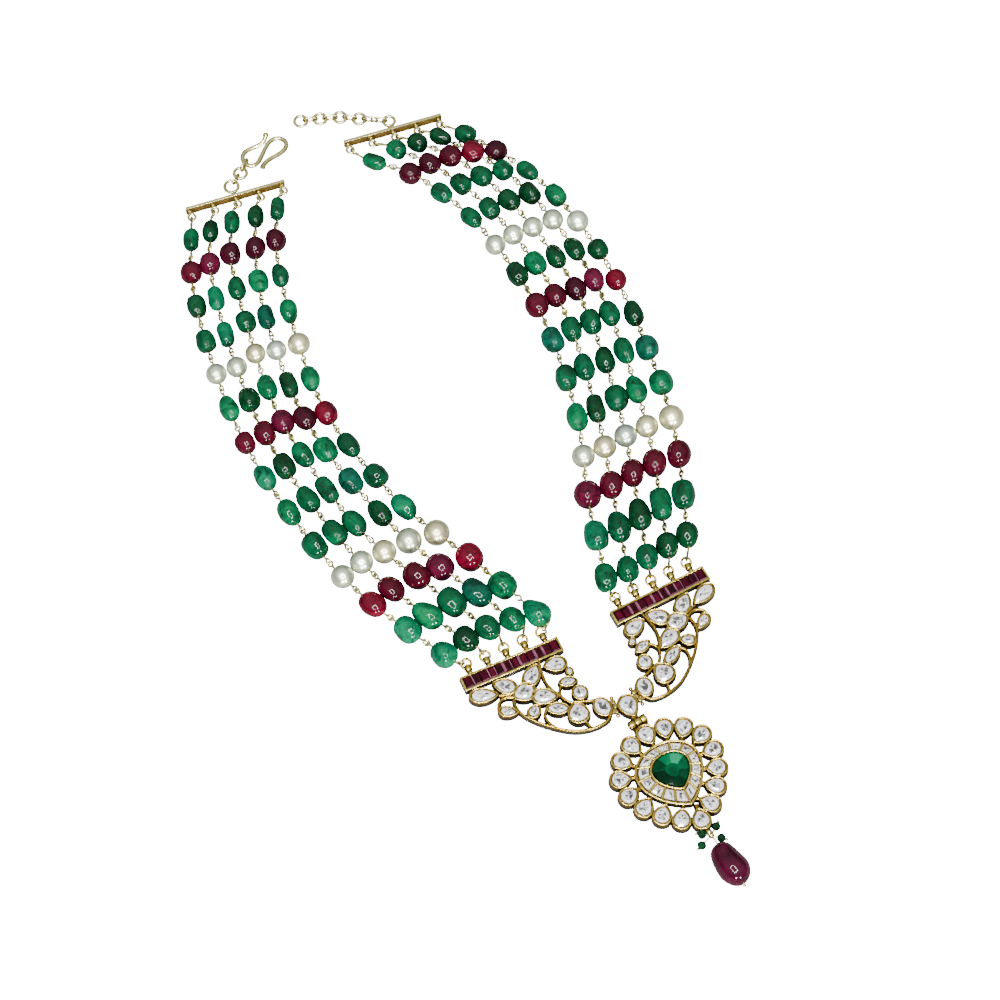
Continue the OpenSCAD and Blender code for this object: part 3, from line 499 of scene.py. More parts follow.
def set_tone(obj, colour):
    """Gives every point of a mesh one colour of its own, which its material reads."""
    layer = obj.data.color_attributes.new("tone", "FLOAT_COLOR", "POINT")
    layer.data.foreach_set("color", [*colour, 1.0] * len(obj.data.vertices))

def loose_boxes(node):
    """Boxes of the separate solids of a CAD node, in millimetres."""
    probe = copy_of(nodes[node], Matrix.Identity(4))
    probe.parent = None
    start_edit(probe, whole=True)
    bpy.ops.mesh.remove_doubles(threshold=0.005 * MM)
    bpy.ops.mesh.separate(type="LOOSE")
    end_edit()
    boxes = []
    for part in list(bpy.context.selected_objects):
        low, high = extent(part)
        boxes.append((low / MM, high / MM, [v.co / MM for v in part.data.vertices]))
        remove(part)
    return boxes

def strand_beads(node, start):
    """Beads of a CAD strand in order from a start point: middle, axis, length, width."""
    left = loose_boxes(node)
    ordered = []
    at = Vector(start)
    while left:
        left.sort(key=lambda b: ((b[0] + b[1]) / 2 - at).length)
        ordered.append(left.pop(0))
        at = (ordered[-1][0] + ordered[-1][1]) / 2
    middles = [(b[0] + b[1]) / 2 for b in ordered]
    beads = []
    for i, (low, high, points) in enumerate(ordered):
        way = middles[min(i + 1, len(middles) - 1)] - middles[max(i - 1, 0)]
        way.z = 0
        way.normalize()
        along = [(p - middles[i]).dot(way) for p in points]
        beads.append((middles[i], way, max(along) - min(along), high.z - low.z))
    return beads

def axis_matrix(middle, way, roll=0.0):
    """Places a body that lies along +X with its middle at a point and its axis along way."""
    turn = way.to_track_quat("X", "Z").to_matrix().to_4x4()
    return Matrix.Translation(middle * MM) @ turn @ Matrix.Rotation(roll, 4, "X")

solid_beads = {}
for side, sign in sides.items():
    for number in range(strand_count):
        node = f"{side}_strand_{number + 1}"
        box_low, box_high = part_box(node)
        inner_x = (box_high if sign < 0 else box_low).x / MM
        solid_beads[side, number] = strand_beads(
            node, Vector((inner_x, strand_start_y, strand_start_z)))
all_beads = dict(solid_beads)

def room_beside(side, number, middle):
    """Distance to the nearest bead middle of the neighbouring strands."""
    beside = [b[0] for n in (number - 1, number + 1) if (side, n) in all_beads
              for b in all_beads[side, n]]
    return min((middle - other).length for other in beside)

def grow(side, number, i):
    """A bead at its full size, on the table: middle, axis, length, width."""
    middle, way, length, width = solid_beads[side, number][i]
    longer, wider = bead_growth[bead_order[i]] if i < last_beads else last_growth
    edge_room = min(middle.x - cad_bounds[0][0] / MM, cad_bounds[1][0] / MM - middle.x)
    full = max(width, min(width * wider, room_beside(side, number, middle) - bead_clear))
    full = min(full, 2 * edge_room - edge_clear)
    if shapes[side][number][i] == "d":
        longer, full = pear_growth[0], width * pear_growth[1]
    if bead_order[i] == "P":
        length = full
    elif 2 * edge_room > width * wider + edge_slack:
        length *= longer
    return Vector((middle.x, middle.y, full / 2)), way, length, full

for side, number in solid_beads:
    all_beads[side, number] = [grow(side, number, i) for i in range(len(bead_order))]

for (side, number), beads in all_beads.items():
    node = f"{side}_strand_{number + 1}"
    copies = []
    for i, (middle, way, length, width) in enumerate(beads):
        letter = shapes[side][number][i]
        full_length, full_width = bead_shapes[letter][:2]
        flip = Matrix.Rotation(math.pi * (letter == "d" or random.randint(0, 1)), 4, "Z")
        wide = width / full_width
        size = Matrix.Diagonal((length / full_length, wide, wide, 1))
        roll = random.uniform(0, 2 * math.pi)
        bead = copy_of(bead_models[letter], flip)
        bead.data.transform(axis_matrix(middle, way, roll) @ size)
        lift = -min(v.co.z for v in bead.data.vertices)
        bead.data.transform(Matrix.Translation((0, 0, lift)))
        bead.data.materials.append(bead_materials[bead_order[i]])
        shift = random.uniform(1 - tone_spread, 1 + tone_spread)
        set_tone(bead, [min(1, c * shift) for c in tone_colours[tones[side][number][i]]])
        copies.append(bead)
    strand = join_as(node + "_beads", copies)
    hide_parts(node)
    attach(strand, "necklace")
for model in bead_models.values():
    remove(model)


# Strand wires: every bead sits on its own short pin of pale gold wire. Both ends of the pin
# are bent to a round eye, which hangs in the eye of the next pin.
eye_r = 0.95
eye_wire_r = 0.43
pin_depth = 0.6
collar_r = 0.56
collar_len = 0.5
loop_r = 1.35
loop_wire_r = 0.56
end_eye_r = 1.15
end_wire_r = 0.48
end_collar_len = 1.6
end_stem_min = 0.35
pin_turn = 45
pin_turn_spread = 25
loop_pitch = 9.1
loop_drop = 3.4
loop_z = 2.2
bar_places = {"left": ((-33.35, 252.65), -8.6), "right": ((33.4, 251.95), -8.9)}
bar_frames = {
    side: Matrix.Translation((x * MM, y * MM, 0)) @ Matrix.Rotation(math.radians(turn), 4, "Z")
    for side, ((x, y), turn) in bar_places.items()
}

def gold_material(name, deep, light, roughness, marks_scale):
    """Polished gold with a faint cloud of tone, fine marks and slightly uneven gloss."""
    material = new_material(name)
    base = ramp_of(material, noise_at(material, marks_scale, 4, 0.4),
                   [(0.30, deep), (0.70, light)])
    return finish_surface(material, base, (1400, 3), (roughness, roughness + 0.14), (500, 2),
                          (0.08, 0.15), {"Metallic": 1.0}, gloss_end=0.75)

wire_gold = gold_material("wire_gold", (0.50, 0.45, 0.16), (0.78, 0.73, 0.34), 0.16, 400)

def model_eye_pin(stem, ring_r=eye_r, wire_r=eye_wire_r, wound=collar_len):
    """One pin end along +X: a stem out of the bead, a wound collar and an eye."""
    eye = new_shape(bpy.ops.mesh.primitive_torus_add, major_segments=12, minor_segments=5,
                    major_radius=ring_r * MM, minor_radius=wire_r * MM,
                    location=((stem + ring_r) * MM, 0, 0))
    shank = new_shape(bpy.ops.mesh.primitive_cylinder_add, vertices=6, radius=wire_r * MM,
                      depth=pin_depth * MM, location=(-pin_depth / 2 * MM, 0, 0),
                      rotation=(0, math.pi / 2, 0))
    start_edit(shank)
    pick_faces(shank, lambda c, n: n.x > looks_along)
    reach = stem - wire_r / 2
    collar = min(wound, reach / 2)
    wound_r = wire_r * collar_r / eye_wire_r
    for step, radius in ((reach - collar, wire_r), (0.0, wound_r), (collar, wound_r),
                         (0.0, wire_r * 0.8)):
        bpy.ops.mesh.extrude_region_move(TRANSFORM_OT_translate={"value": (step * MM, 0, 0)})
        mesh = bmesh.from_edit_mesh(shank.data)
        now = max(math.hypot(v.co.y, v.co.z) for v in mesh.verts if v.select)
        bpy.ops.transform.resize(value=(1, radius * MM / now, radius * MM / now))
    end_edit()
    pin = join_as("eye_pin", [eye, shank])
    smooth(pin, 50)
    return pin

def on_bar(side, at):
    """A place drawn on an end bar, in millimetres, where that bar lies."""
    return bar_frames[side] @ (Vector(at) * MM) / MM

post_ring_middles = {}
for side, sign in sides.items():
    rings = [(low + high) / 2 for low, high, _ in loose_boxes(f"{side}_post_rings")]
    post_ring_middles[side] = sorted(rings, key=lambda c: -sign * c.x)
post_ring_r = 1.8
post_ring_wire_r = 0.54
eye_overlap = 2 * (eye_r - eye_wire_r)

for (side, number), beads in all_beads.items():
    node = f"{side}_thread_{number + 1}"
    ends = [(m - w * l / 2, m + w * l / 2) for m, w, l, _ in beads]
    spans = [(ends[i][1], ends[i + 1][0]) for i in range(len(ends) - 1)]
    gap = sum((b - a).length for a, b in spans) / len(spans)
    pin = model_eye_pin((gap - eye_overlap - 2 * eye_r) / 2)
    copies = []
    for a, b in spans:
        way = (b - a).normalized()
        quarter = math.radians(pin_turn + random.uniform(-pin_turn_spread, pin_turn_spread))
        copies.append(copy_of(pin, axis_matrix(a, way, quarter)))
        copies.append(copy_of(pin, axis_matrix(b, -way, quarter + math.pi / 2)))
    remove(pin)
    top = on_bar(side, (sides[side] * (middle_strand - number) * loop_pitch, -loop_drop,
                        loop_z))
    foot = post_ring_middles[side][number]
    for end, hold, hold_r, hold_wire in ((ends[0][0], top, loop_r, loop_wire_r),
                                         (ends[-1][1], foot, post_ring_r, post_ring_wire_r)):
        way = (hold - end).normalized()
        reach = (hold - end).length - hold_r + hold_wire + end_wire_r - 2 * end_eye_r
        pin = model_eye_pin(max(end_stem_min, reach), end_eye_r, end_wire_r, end_collar_len)
        copies.append(copy_of(pin, axis_matrix(end, way, math.pi / 2)))
        remove(pin)
    thread = join_as(node + "_pins", copies)
    thread.data.materials.append(wire_gold)
    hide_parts(node)
    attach(thread, "necklace")


# End bars: flat gold bars on edge, with a thin top edge painted light and a face painted darker
# towards its foot, as painted light and shade. Five wires hook over the bar and end in a round
# eye; a soldered ring behind takes the clasp.
bar_len = 39.4
bar_thick = 1.3
bar_height = 4.0
bar_bevel = 0.16
bar_face_inset = 0.35
bar_face_depth = 0.12
loop_collar_len = 0.7
loop_collar_wide = 1.5
back_stem_wide = 1.2
ring_wire_r = 0.68
ring_z = 1.5
back_rings = {"left": (5.3, 2.6), "right": (4.8, 2.2)}

def height_colour(material, low, high, stops):
    """Colour by the height over the table, between two heights in millimetres."""
    place = node_in(material, "ShaderNodeTexCoord")
    split = node_in(material, "ShaderNodeSeparateXYZ")
    span = node_in(material, "ShaderNodeMapRange", clamp=True)
    span.inputs["From Min"].default_value = low * MM
    span.inputs["From Max"].default_value = high * MM
    wire_up(material, place.outputs["Object"], split.inputs[0])
    wire_up(material, split.outputs["Z"], span.inputs["Value"])
    return ramp_of(material, span.outputs["Result"], stops)

bar_gold = gold_material("bar_gold", grey(0.90), grey(1.0), 0.18, 90)
# Painted light and shade by height: dark brown at the foot of the bar, pale at its top edge
bar_painted_light_and_shade = height_colour(bar_gold, 0, bar_height,
                          [(0.0, (0.34, 0.19, 0.026)), (0.80, (0.54, 0.36, 0.075)),
                           (0.93, (0.66, 0.54, 0.18)), (1.0, (0.78, 0.70, 0.30))])
bar_cloud = shader_of(bar_gold).inputs["Base Color"].links[0].from_socket
wire_up(bar_gold, blend_colours(bar_gold, "MULTIPLY", 1.0, bar_cloud, bar_painted_light_and_shade),
        shader_of(bar_gold).inputs["Base Color"])

def model_ring(radius, wire_r, at, turn=(0, 0, 0), segments=28, sides=8):
    ring = new_shape(bpy.ops.mesh.primitive_torus_add, major_segments=segments,
                     minor_segments=sides, major_radius=radius * MM, minor_radius=wire_r * MM,
                     location=Vector(at) * MM, rotation=turn)
    smooth(ring, 60)
    return ring

def model_rod(a, b, radius, sides=10, end_radius=None):
    """A round rod between two points, with softened ends."""
    a, b = Vector(a), Vector(b)
    turn = (b - a).to_track_quat("Z", "Y").to_matrix().to_4x4()
    return new_shape(bpy.ops.mesh.primitive_cone_add, Matrix.Translation((a + b) / 2 * MM) @ turn,
                     vertices=sides, radius1=radius * MM, radius2=(end_radius or radius) * MM,
                     depth=(b - a).length * MM)

def soften(obj, width_mm, segments=2, angle=40):
    bevel = obj.modifiers.new("soften", "BEVEL")
    bevel.width = width_mm * MM
    bevel.segments = segments
    bevel.limit_method = "ANGLE"
    bevel.angle_limit = math.radians(angle)
    apply_modifiers(obj)

def step_in(thickness, depth):
    bpy.ops.mesh.inset(thickness=thickness * MM, depth=depth * MM)

def box_at(low, high):
    """A plain block between two corners, in millimetres."""
    low, high = Vector(low), Vector(high)
    return new_shape(bpy.ops.mesh.primitive_cube_add, size=1, scale=(high - low) * MM,
                     location=(low + high) / 2 * MM)

for side in sides:
    bar = box_at((-bar_len / 2, -bar_thick / 2, 0), (bar_len / 2, bar_thick / 2, bar_height))
    start_edit(bar)
    for sign in (-1, 1):
        pick_faces(bar, lambda c, n: sign * n.y > looks_along)
        step_in(bar_face_inset, -bar_face_depth)
    end_edit()
    soften(bar, bar_bevel)
    smooth(bar, 40)
    bar.data.materials.append(bar_gold)
    parts = []
    for k in range(strand_count):
        x = (middle_strand - k) * loop_pitch
        collar = model_rod((x, -bar_thick / 2, loop_z),
                           (x, -bar_thick / 2 - loop_collar_len, loop_z),
                           loop_wire_r * loop_collar_wide)
        soften(collar, 0.12)
        parts += [model_ring(loop_r, loop_wire_r, (x, -loop_drop, loop_z), segments=20),
                  model_rod((x, 0, loop_z), (x, -loop_drop + loop_r, loop_z), loop_wire_r),
                  collar]
    drop, radius = back_rings[side]
    parts += [model_ring(radius, ring_wire_r, (0, drop, ring_z)),
              model_rod((0, 0, ring_z), (0, drop - radius, ring_z),
                        ring_wire_r * back_stem_wide, end_radius=ring_wire_r)]
    for part in parts:
        part.data.materials.append(wire_gold)
    piece = join_as(f"{side}_end_bar_gold", [bar] + parts)
    bake_place(piece, bar_frames[side])
    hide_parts(f"{side}_end_bar")
    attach(piece, "necklace")


# Hook: one length of round gold wire bent to an S with an open eye, with a ball at its short
# end and a slightly flared tip. It lies on the table and rises at the end that is linked.
hook_wire_r = 0.96
hook_ball_r = 1.2
hook_tip_flare = 1.25
hook_low = 1.0
hook_high = 1.75
hook_left_x = -23.8
hook_right_x = -5.1
# Places along the wire from the ball to the tip: x, y, height over the lie of the hook
hook_route = [
    (-11.4, 271.6, 2.2), (-12.2, 270.6, 1.6), (-13.4, 269.9, 0.8), (-15.2, 269.7, 0.2),
    (-18.0, 269.9, 0), (-20.8, 269.8, 0), (-22.8, 268.8, 0), (-23.8, 266.6, 0),
    (-23.6, 264.3, 0), (-22.3, 262.6, 0), (-20.2, 262.2, 0), (-18.0, 263.5, 0),
    (-15.0, 266.4, 0), (-12.2, 269.0, 0), (-9.9, 270.1, 0), (-7.6, 270.0, 0),
    (-5.7, 268.6, 0), (-5.1, 266.4, 0), (-6.4, 264.1, 0), (-9.2, 262.9, 0),
    (-12.4, 262.6, 0), (-15.8, 262.1, 0), (-17.6, 261.1, 0), (-18.4, 260.0, 0),
]

def mesh_of_curve(name, data):
    """The mesh of a curve, with the points that coincide merged."""
    curve = bpy.data.objects.new(name, data)
    bpy.context.scene.collection.objects.link(curve)
    make_active(curve)
    bpy.ops.object.convert(target="MESH")
    start_edit(bpy.context.object, whole=True)
    bpy.ops.mesh.remove_doubles(threshold=0.002 * MM)
    bpy.ops.mesh.normals_make_consistent(inside=False)
    end_edit()
    return bpy.context.object

def wire_along(name, points, radius, ends):
    """Round wire along points, in millimetres, as a closed mesh tube."""
    data = bpy.data.curves.new(name, "CURVE")
    data.dimensions = "3D"
    data.bevel_depth = radius * MM
    data.bevel_resolution = 3
    data.resolution_u = 3
    data.use_fill_caps = True
    spline = data.splines.new("NURBS")
    spline.points.add(len(points) - 1)
    for point, place in zip(spline.points, points):
        point.co = (*(Vector(place) * MM), 1)
    spline.points[0].radius, spline.points[-1].radius = ends
    spline.order_u = 4
    spline.use_endpoint_u = True
    wire = mesh_of_curve(name, data)
    smooth(wire, 50)
    return wire

def model_ball(at, radius, segments=16, rings=10):
    ball = new_shape(bpy.ops.mesh.primitive_uv_sphere_add, segments=segments, ring_count=rings,
                     radius=radius * MM, location=Vector(at) * MM)
    smooth(ball, 60)
    return ball

def hook_height(x):
    return hook_low + (hook_high - hook_low) * (hook_right_x - x) / (hook_right_x - hook_left_x)

hook_points = [Vector((x, y, hook_height(x) + z)) for x, y, z in hook_route]
hook_parts = [wire_along("hook_wire", hook_points, hook_wire_r, ends=(1.0, hook_tip_flare)),
              model_ball(hook_points[0], hook_ball_r, 20, 12)]
hook = join_as("hook_gold", hook_parts)
hook.data.materials.append(wire_gold)
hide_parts("hook")
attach(hook, "necklace")


# Clasp ring, extension rings and links: round rings of hammered wire, joined by small oval
# links that stand on edge, and a wound link at the hook.
ring_r = 2.40
link_wire_r = 0.50
link_clear = 0.2
link_lift = 0.05
link_height = 2 * ring_wire_r + 2 * link_clear
hook_link_wire_r = 0.62
hammer_marks = 12
hammer_reach = 0.62
hammer_flat = (0.985, 0.985, 0.97)

def model_link(a, b, radius_a, radius_b, wire_r, height):
    """A link on edge round the wires at a and b: a torus drawn out along the way between."""
    a, b = Vector(a), Vector(b)
    way = b - a
    inner = way.length + radius_a + radius_b + link_clear
    end_r = height / 2 + wire_r
    half = (inner - height) / 2
    link = new_shape(bpy.ops.mesh.primitive_torus_add, major_segments=20, minor_segments=8,
                     major_radius=end_r * MM, minor_radius=wire_r * MM,
                     rotation=(math.pi / 2, 0, 0))
    start_edit(link)
    for sign in (-1, 1):
        pick_verts(link, lambda c: sign * c.x > 0.05)
        bpy.ops.transform.translate(value=(sign * half * MM, 0, 0))
    end_edit()
    smooth(link, 60)
    middle = (a + b) / 2 + way.normalized() * (radius_b - radius_a) / 2
    middle.z = height / 2 + 2 * wire_r + link_lift
    bake_place(link, axis_matrix(middle, way.normalized()))
    return link

ring_middles = sorted([(low + high) / 2 for low, high, _ in loose_boxes("chain_rings")],
                      key=lambda c: c.x)
hook_ring_low, hook_ring_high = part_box("hook_ring")
hook_ring_middle = (hook_ring_low + hook_ring_high) / 2 / MM
back_ring_middles = {side: on_bar(side, (0, back_rings[side][0], ring_z)) for side in sides}

def hammered_ring(ring_middle):
    """A round ring with small flats, as a hammer leaves them."""
    ring = model_ring(ring_r, ring_wire_r, ring_middle, segments=36)
    start_edit(ring)
    for k in range(hammer_marks):
        turn = 2 * math.pi * k / hammer_marks
        middle = ring_middle + Vector((math.cos(turn), math.sin(turn), 0)) * ring_r
        pick_verts(ring, lambda c: (c - middle).length < hammer_reach)
        bpy.ops.transform.resize(value=hammer_flat, center_override=middle * MM)
    end_edit()
    return ring

chain_rings = join_as("chain_rings_gold", [hammered_ring(middle) for middle in ring_middles])
chain_rings.data.materials.append(wire_gold)
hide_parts("chain_rings")
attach(chain_rings, "necklace")
hook_ring = join_as("hook_ring_gold", [hammered_ring(hook_ring_middle)])
hook_ring.data.materials.append(wire_gold)
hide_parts("hook_ring")
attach(hook_ring, "necklace")

def ring_link(first, first_r, second, second_r):
    way = (second - first).normalized()
    return model_link(first + way * first_r, second - way * second_r, ring_wire_r, ring_wire_r,
                      link_wire_r, link_height)

links = [ring_link(ring_middles[i], ring_r, ring_middles[i + 1], ring_r) for i in range(3)]
last_way = (back_ring_middles["right"] - ring_middles[3]).normalized()
last_start = ring_middles[3] + last_way * ring_r
last_end = back_ring_middles["right"] - last_way * back_rings["right"][1]
last_middle = (last_start + last_end) / 2
for a, b, wire_a, wire_b in ((last_start, last_middle, ring_wire_r, link_wire_r),
                             (last_middle, last_end, link_wire_r, ring_wire_r)):
    links.append(model_link(a, b, wire_a, wire_b, link_wire_r, link_height))
chain_links = join_as("chain_links_gold", links)
chain_links.data.materials.append(wire_gold)
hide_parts("chain_links")
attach(chain_links, "necklace")

hook_bend = Vector((*hook_route[8][:2], ring_z))
to_hook = (hook_bend - hook_ring_middle).normalized()
links = [
    ring_link(back_ring_middles["left"], back_rings["left"][1], hook_ring_middle, ring_r),
    model_link(hook_ring_middle + to_hook * ring_r, hook_bend, ring_wire_r, hook_wire_r,
               hook_link_wire_r, 2 * hook_wire_r + 1.5 * link_clear),
]
hook_links = join_as("hook_links_gold", links)
hook_links.data.materials.append(wire_gold)
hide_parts("hook_links")
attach(hook_links, "necklace")


# Post rings: plain round rings of gold wire, soldered shut. Each one goes through the cross
# hole of a post and leans up to its strand, whose last wire eye hangs in it.
panel_turns = {"left": -2.7, "right": 0.9}
post_ring_lean = 25
ring_gold = gold_material("ring_gold", (0.12, 0.075, 0.010), (0.26, 0.18, 0.035), 0.14, 400)

def turned(degrees, axis="Z"):
    return Matrix.Rotation(math.radians(degrees), 4, axis)

for side in sides:
    rings = []
    for middle in post_ring_middles[side]:
        ring = model_ring(post_ring_r, post_ring_wire_r, (0, 0, 0), segments=20)
        ring.data.transform(Matrix.Translation(middle * MM) @ turned(panel_turns[side])
                            @ turned(post_ring_lean, "X"))
        rings.append(ring)
    post_rings = join_as(f"{side}_post_rings_gold", rings)
    post_rings.data.materials.append(ring_gold)
    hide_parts(f"{side}_post_rings")
    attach(post_rings, "necklace")


# Panels: pierced openwork of yellow gold. Each stone sits in its own bezel of folded foil
# with a raised rim, the bezels are soldered to curved ribs and to the bar with the red
# stones, and five pierced posts stand on the bar's back edge.
gold_base = 1.4
plate_top = 3.7
rim = 1.0
rib_w = 1.2
rib_top = plate_top - 0.15
# x, y, length, width, turn of the tip, sharpness of the tip, of the tail
panel_stones = [
    (44.5, 24.3, 8.4, 4.5, 200, 0.7, 0.1), (36.3, 24.5, 7.1, 4.7, 40, 0.7, 0.1),
    (25.8, 24.3, 7.2, 4.8, 138, 0.7, 0.1), (31.1, 19.5, 6.9, 5.6, 0, 0.3, 0),
    (25.1, 15.1, 7.5, 5.0, 205, 0.6, 0), (16.7, 24.7, 6.8, 4.6, 12, 0.6, 0),
    (15.4, 16.8, 5.0, 2.7, 15, 0.5, 0.5), (13.2, 11.3, 4.4, 4.4, 0, 0, 0),
    (39.2, 15.2, 5.0, 3.0, 210, 0.6, 0), (30.8, 11.5, 4.1, 3.2, 150, 0.4, 0),
    (22.9, 9.0, 6.8, 3.4, 25, 0.5, 0.5), (17.0, 4.7, 6.6, 6.4, 100, 0.6, 0),
    (8.4, 3.1, 6.4, 5.0, 80, 0, 0),
]
panel_ribs = [
    [(21.3, 28.2), (22.2, 24.7), (22.4, 18.4), (20.1, 12.9)],
    [(17.6, 17.0), (19.0, 15.6), (19.9, 13.8), (19.2, 11.1), (17.2, 8.8), (15.6, 7.9)],
    [(15.8, 8.6), (13.1, 7.5), (9.0, 6.3)],
    [(35.8, 18.4), (36.0, 15.6), (35.4, 12.9), (33.5, 9.7), (28.5, 4.3), (22.2, -0.5),
     (18.5, -2.1), (14.9, -2.8), (11.3, -2.8), (8.1, -1.9), (6.4, 0.2)],
    [(26.0, 10.6), (27.6, 9.5), (28.3, 7.5), (27.9, 5.2), (26.7, 2.9)],
    [(16.3, 1.5), (15.4, -2.3)],
    [(35.2, 19.3), (38.1, 20.4), (40.4, 19.7), (41.7, 17.9), (41.7, 15.6), (41.2, 14.3)],
    [(35.6, 20.7), (39.7, 22.0)],
]
boss_stone = (13.1, 20.2, 1.9, 1.9, 0, 0, 0)
boss_rim = 0.75
# The same, then the width of the rim and the number of points round the setting
panel_seats = [(*stone, rim, 28) for stone in panel_stones] + [(*boss_stone, boss_rim, 18)]
bar_x, bar_y, ruby_len, ruby_wide = 11.5, 28.1, 38.2, 5.9
ruby_margin = 0.9
channel_wall = ruby_margin - 0.1
# Rim of a setting: steps inward and up, how far in and up they go, and how far the rim laps
# over its stone. The outline of a setting is a little blunter than that of its stone.
rim_steps = [(0.09, 0.36), (0.14, 0.24), (0.16, 0.05), (0.14, -0.07), (0.16, -0.28), (0.0, -0.5)]
rim_foot = 0.04
rim_reach = 0.73
rim_height = 0.65
stone_lap = 0.12
tip_blunting = 0.85
ruby_floor = 2.2
post_first_x = 45.2
post_pitch = 7.3
post_base_y = 34.0
post_sink = 0.4
post_len = 3.6
post_z = 2.4
post_radii = (1.15, 1.0)
post_top_step = (0.25, 0.18)
post_collar_len = 0.7
post_collar_radii = (1.3, 1.2)
post_head_y = 1.2
post_head_radii = (1.5, 1.35)
post_hole_y = 2.35
post_hole_r = 0.75
hinge_at = (4.35, 1.6)
hinge_turn = 9
hinge_z = 1.9
hinge_r = 0.95
knuckle_len = 1.6
knuckle_step = 1.75
web_low = 1.3
web_high = 2.8

# Knuckles and pins are a deeper gold, and bezels, ribs and bars are painted darker towards their
# foot as painted shade in the hollows of the openwork
deep_gold = gold_material("deep_gold", (0.24, 0.18, 0.04), (0.42, 0.34, 0.10), 0.20, 400)
bezel_gold = new_material("bezel_gold")
bezel_painted_shade = height_colour(bezel_gold, gold_base, plate_top,
                            [(0.0, (0.06, 0.024, 0.001)), (0.50, (0.15, 0.070, 0.005)),
                             (0.90, (0.28, 0.17, 0.018)), (1.0, (0.54, 0.43, 0.085))])
bezel_colour = clouded(bezel_gold, bezel_painted_shade, (220, 4, 0.5),
                       [(0.3, grey(0.66)), (0.7, grey(1.04))])
finish_surface(bezel_gold, bezel_colour, (1200, 3), (0.17, 0.34), (420, 3), (0.10, 0.2),
               {"Metallic": 1.0}, gloss_end=0.75)

def pear_points(length, width, tip, tail, count):
    """Outline of a stone with its tip on +X, by the same law as the CAD stones."""
    def raw(t):
        return math.sin(t) * abs(math.sin(t / 2)) ** tip * abs(math.cos(t / 2)) ** tail
    peak = max(raw(math.radians(t)) for t in range(0, 181, 3))
    return [(length / 2 * math.cos(t), width / 2 * raw(t) / peak)
            for t in (2 * math.pi * i / count for i in range(count))]

def disc_of(points, z):
    """A flat face with the given outline: a round disc whose edge is moved to the points."""
    disc = new_shape(bpy.ops.mesh.primitive_circle_add, vertices=len(points), radius=MM,
                     fill_type="NGON")
    start_edit(disc, whole=True)
    mesh = bmesh.from_edit_mesh(disc.data)
    mesh.verts.ensure_lookup_table()
    ordered = sorted(mesh.verts, key=lambda v: math.atan2(v.co.y, v.co.x) % (2 * math.pi))
    for vert, (x, y) in zip(ordered, points):
        vert.co = (x * MM, y * MM, z * MM)
    bmesh.update_edit_mesh(disc.data)
    bpy.ops.mesh.normals_make_consistent(inside=False)
    mesh = bmesh.from_edit_mesh(disc.data)
    mesh.faces.ensure_lookup_table()
    if mesh.faces[0].normal.z < 0:
        bpy.ops.mesh.flip_normals()
    end_edit()
    return disc

def raise_faces(height, size=(1, 1)):
    """Raises the picked faces, then draws them in or out about the origin."""
    bpy.ops.mesh.extrude_region_move(TRANSFORM_OT_translate={"value": (0, 0, height * MM)})
    if size != (1, 1):
        resize_about_origin(size)

def resize_about_origin(size):
    bpy.ops.transform.resize(value=(*size, 1), center_override=(0, 0, 0))

def step_up(length, width, steps):
    """Raises the picked face ring by ring: each step draws its edge in and moves it up."""
    for inward, height in steps:
        new_length, new_width = length - 2 * inward, width - 2 * inward
        raise_faces(height, (new_length / length, new_width / width))
        length, width = new_length, new_width

def close_edges(obj):
    """Fills the open edges that a raised disc or a bare tube leaves."""
    start_edit(obj)
    bpy.ops.mesh.select_mode(type="EDGE")
    bpy.ops.mesh.select_all(action="DESELECT")
    bpy.ops.mesh.select_non_manifold()
    mesh = bmesh.from_edit_mesh(obj.data)
    if any(edge.select for edge in mesh.edges):
        bpy.ops.mesh.edge_face_add()
    bpy.ops.mesh.select_all(action="SELECT")
    bpy.ops.mesh.normals_make_consistent(inside=False)
    end_edit()

def setting_points(length, width, tip, tail, wall, count):
    """Outline of a setting round a stone. Its wall is thicker at a sharp tip."""
    return pear_points(length + (2 + tip) * wall, width + 2 * wall, tip * tip_blunting,
                       tail * tip_blunting, count)

def model_bezel(length, width, tip, tail, base, top, rim_w, count=28):
    """A setting: leaning outer wall, rounded raised rim and a floor under the stone."""
    bezel = disc_of(setting_points(length, width, tip, tail, rim_w, count), base)
    start_edit(bezel, whole=True)
    draw = (rim_w - stone_lap) / rim_reach
    steps = [(rim_foot, top - base - rim_height)] + rim_steps
    step_up(length + (2 + tip) * rim_w, width + 2 * rim_w,
            [(inward * draw, height) for inward, height in steps])
    end_edit()
    close_edges(bezel)
    smooth(bezel, 34)
    return bezel

def flat_place(x, y, turn):
    return Matrix.Translation((x * MM, y * MM, 0)) @ turned(turn)

def model_rib(points, low, high, width, closed=False):
    """A wall of even width along a flat route, with a rounded top."""
    data = bpy.data.curves.new("rib", "CURVE")
    data.dimensions = "2D"
    data.fill_mode = "NONE"
    data.bevel_depth = width / 2 * MM
    data.bevel_resolution = 2
    data.extrude = (high - low - width) / 2 * MM
    data.resolution_u = 5
    spline = data.splines.new("BEZIER")
    spline.bezier_points.add(len(points) - 1)
    for point, (x, y) in zip(spline.bezier_points, points):
        point.co = (x * MM, y * MM, 0)
        point.handle_left_type = point.handle_right_type = "AUTO"
    spline.use_cyclic_u = closed
    rib = mesh_of_curve("rib", data)
    close_edges(rib)
    bake_place(rib, Matrix.Translation((0, 0, (low + high) / 2 * MM)))
    smooth(rib, 50)
    return rib

def model_knuckle(step):
    """One barrel of a hinge that lies along Y, placed by its step from the middle."""
    low = step * knuckle_step - knuckle_len / 2
    high = step * knuckle_step + knuckle_len / 2
    knuckle = model_rod((0, low, hinge_z), (0, high, hinge_z), hinge_r, 18)
    soften(knuckle, 0.22, 3, 60)
    smooth(knuckle, 50)
    return knuckle

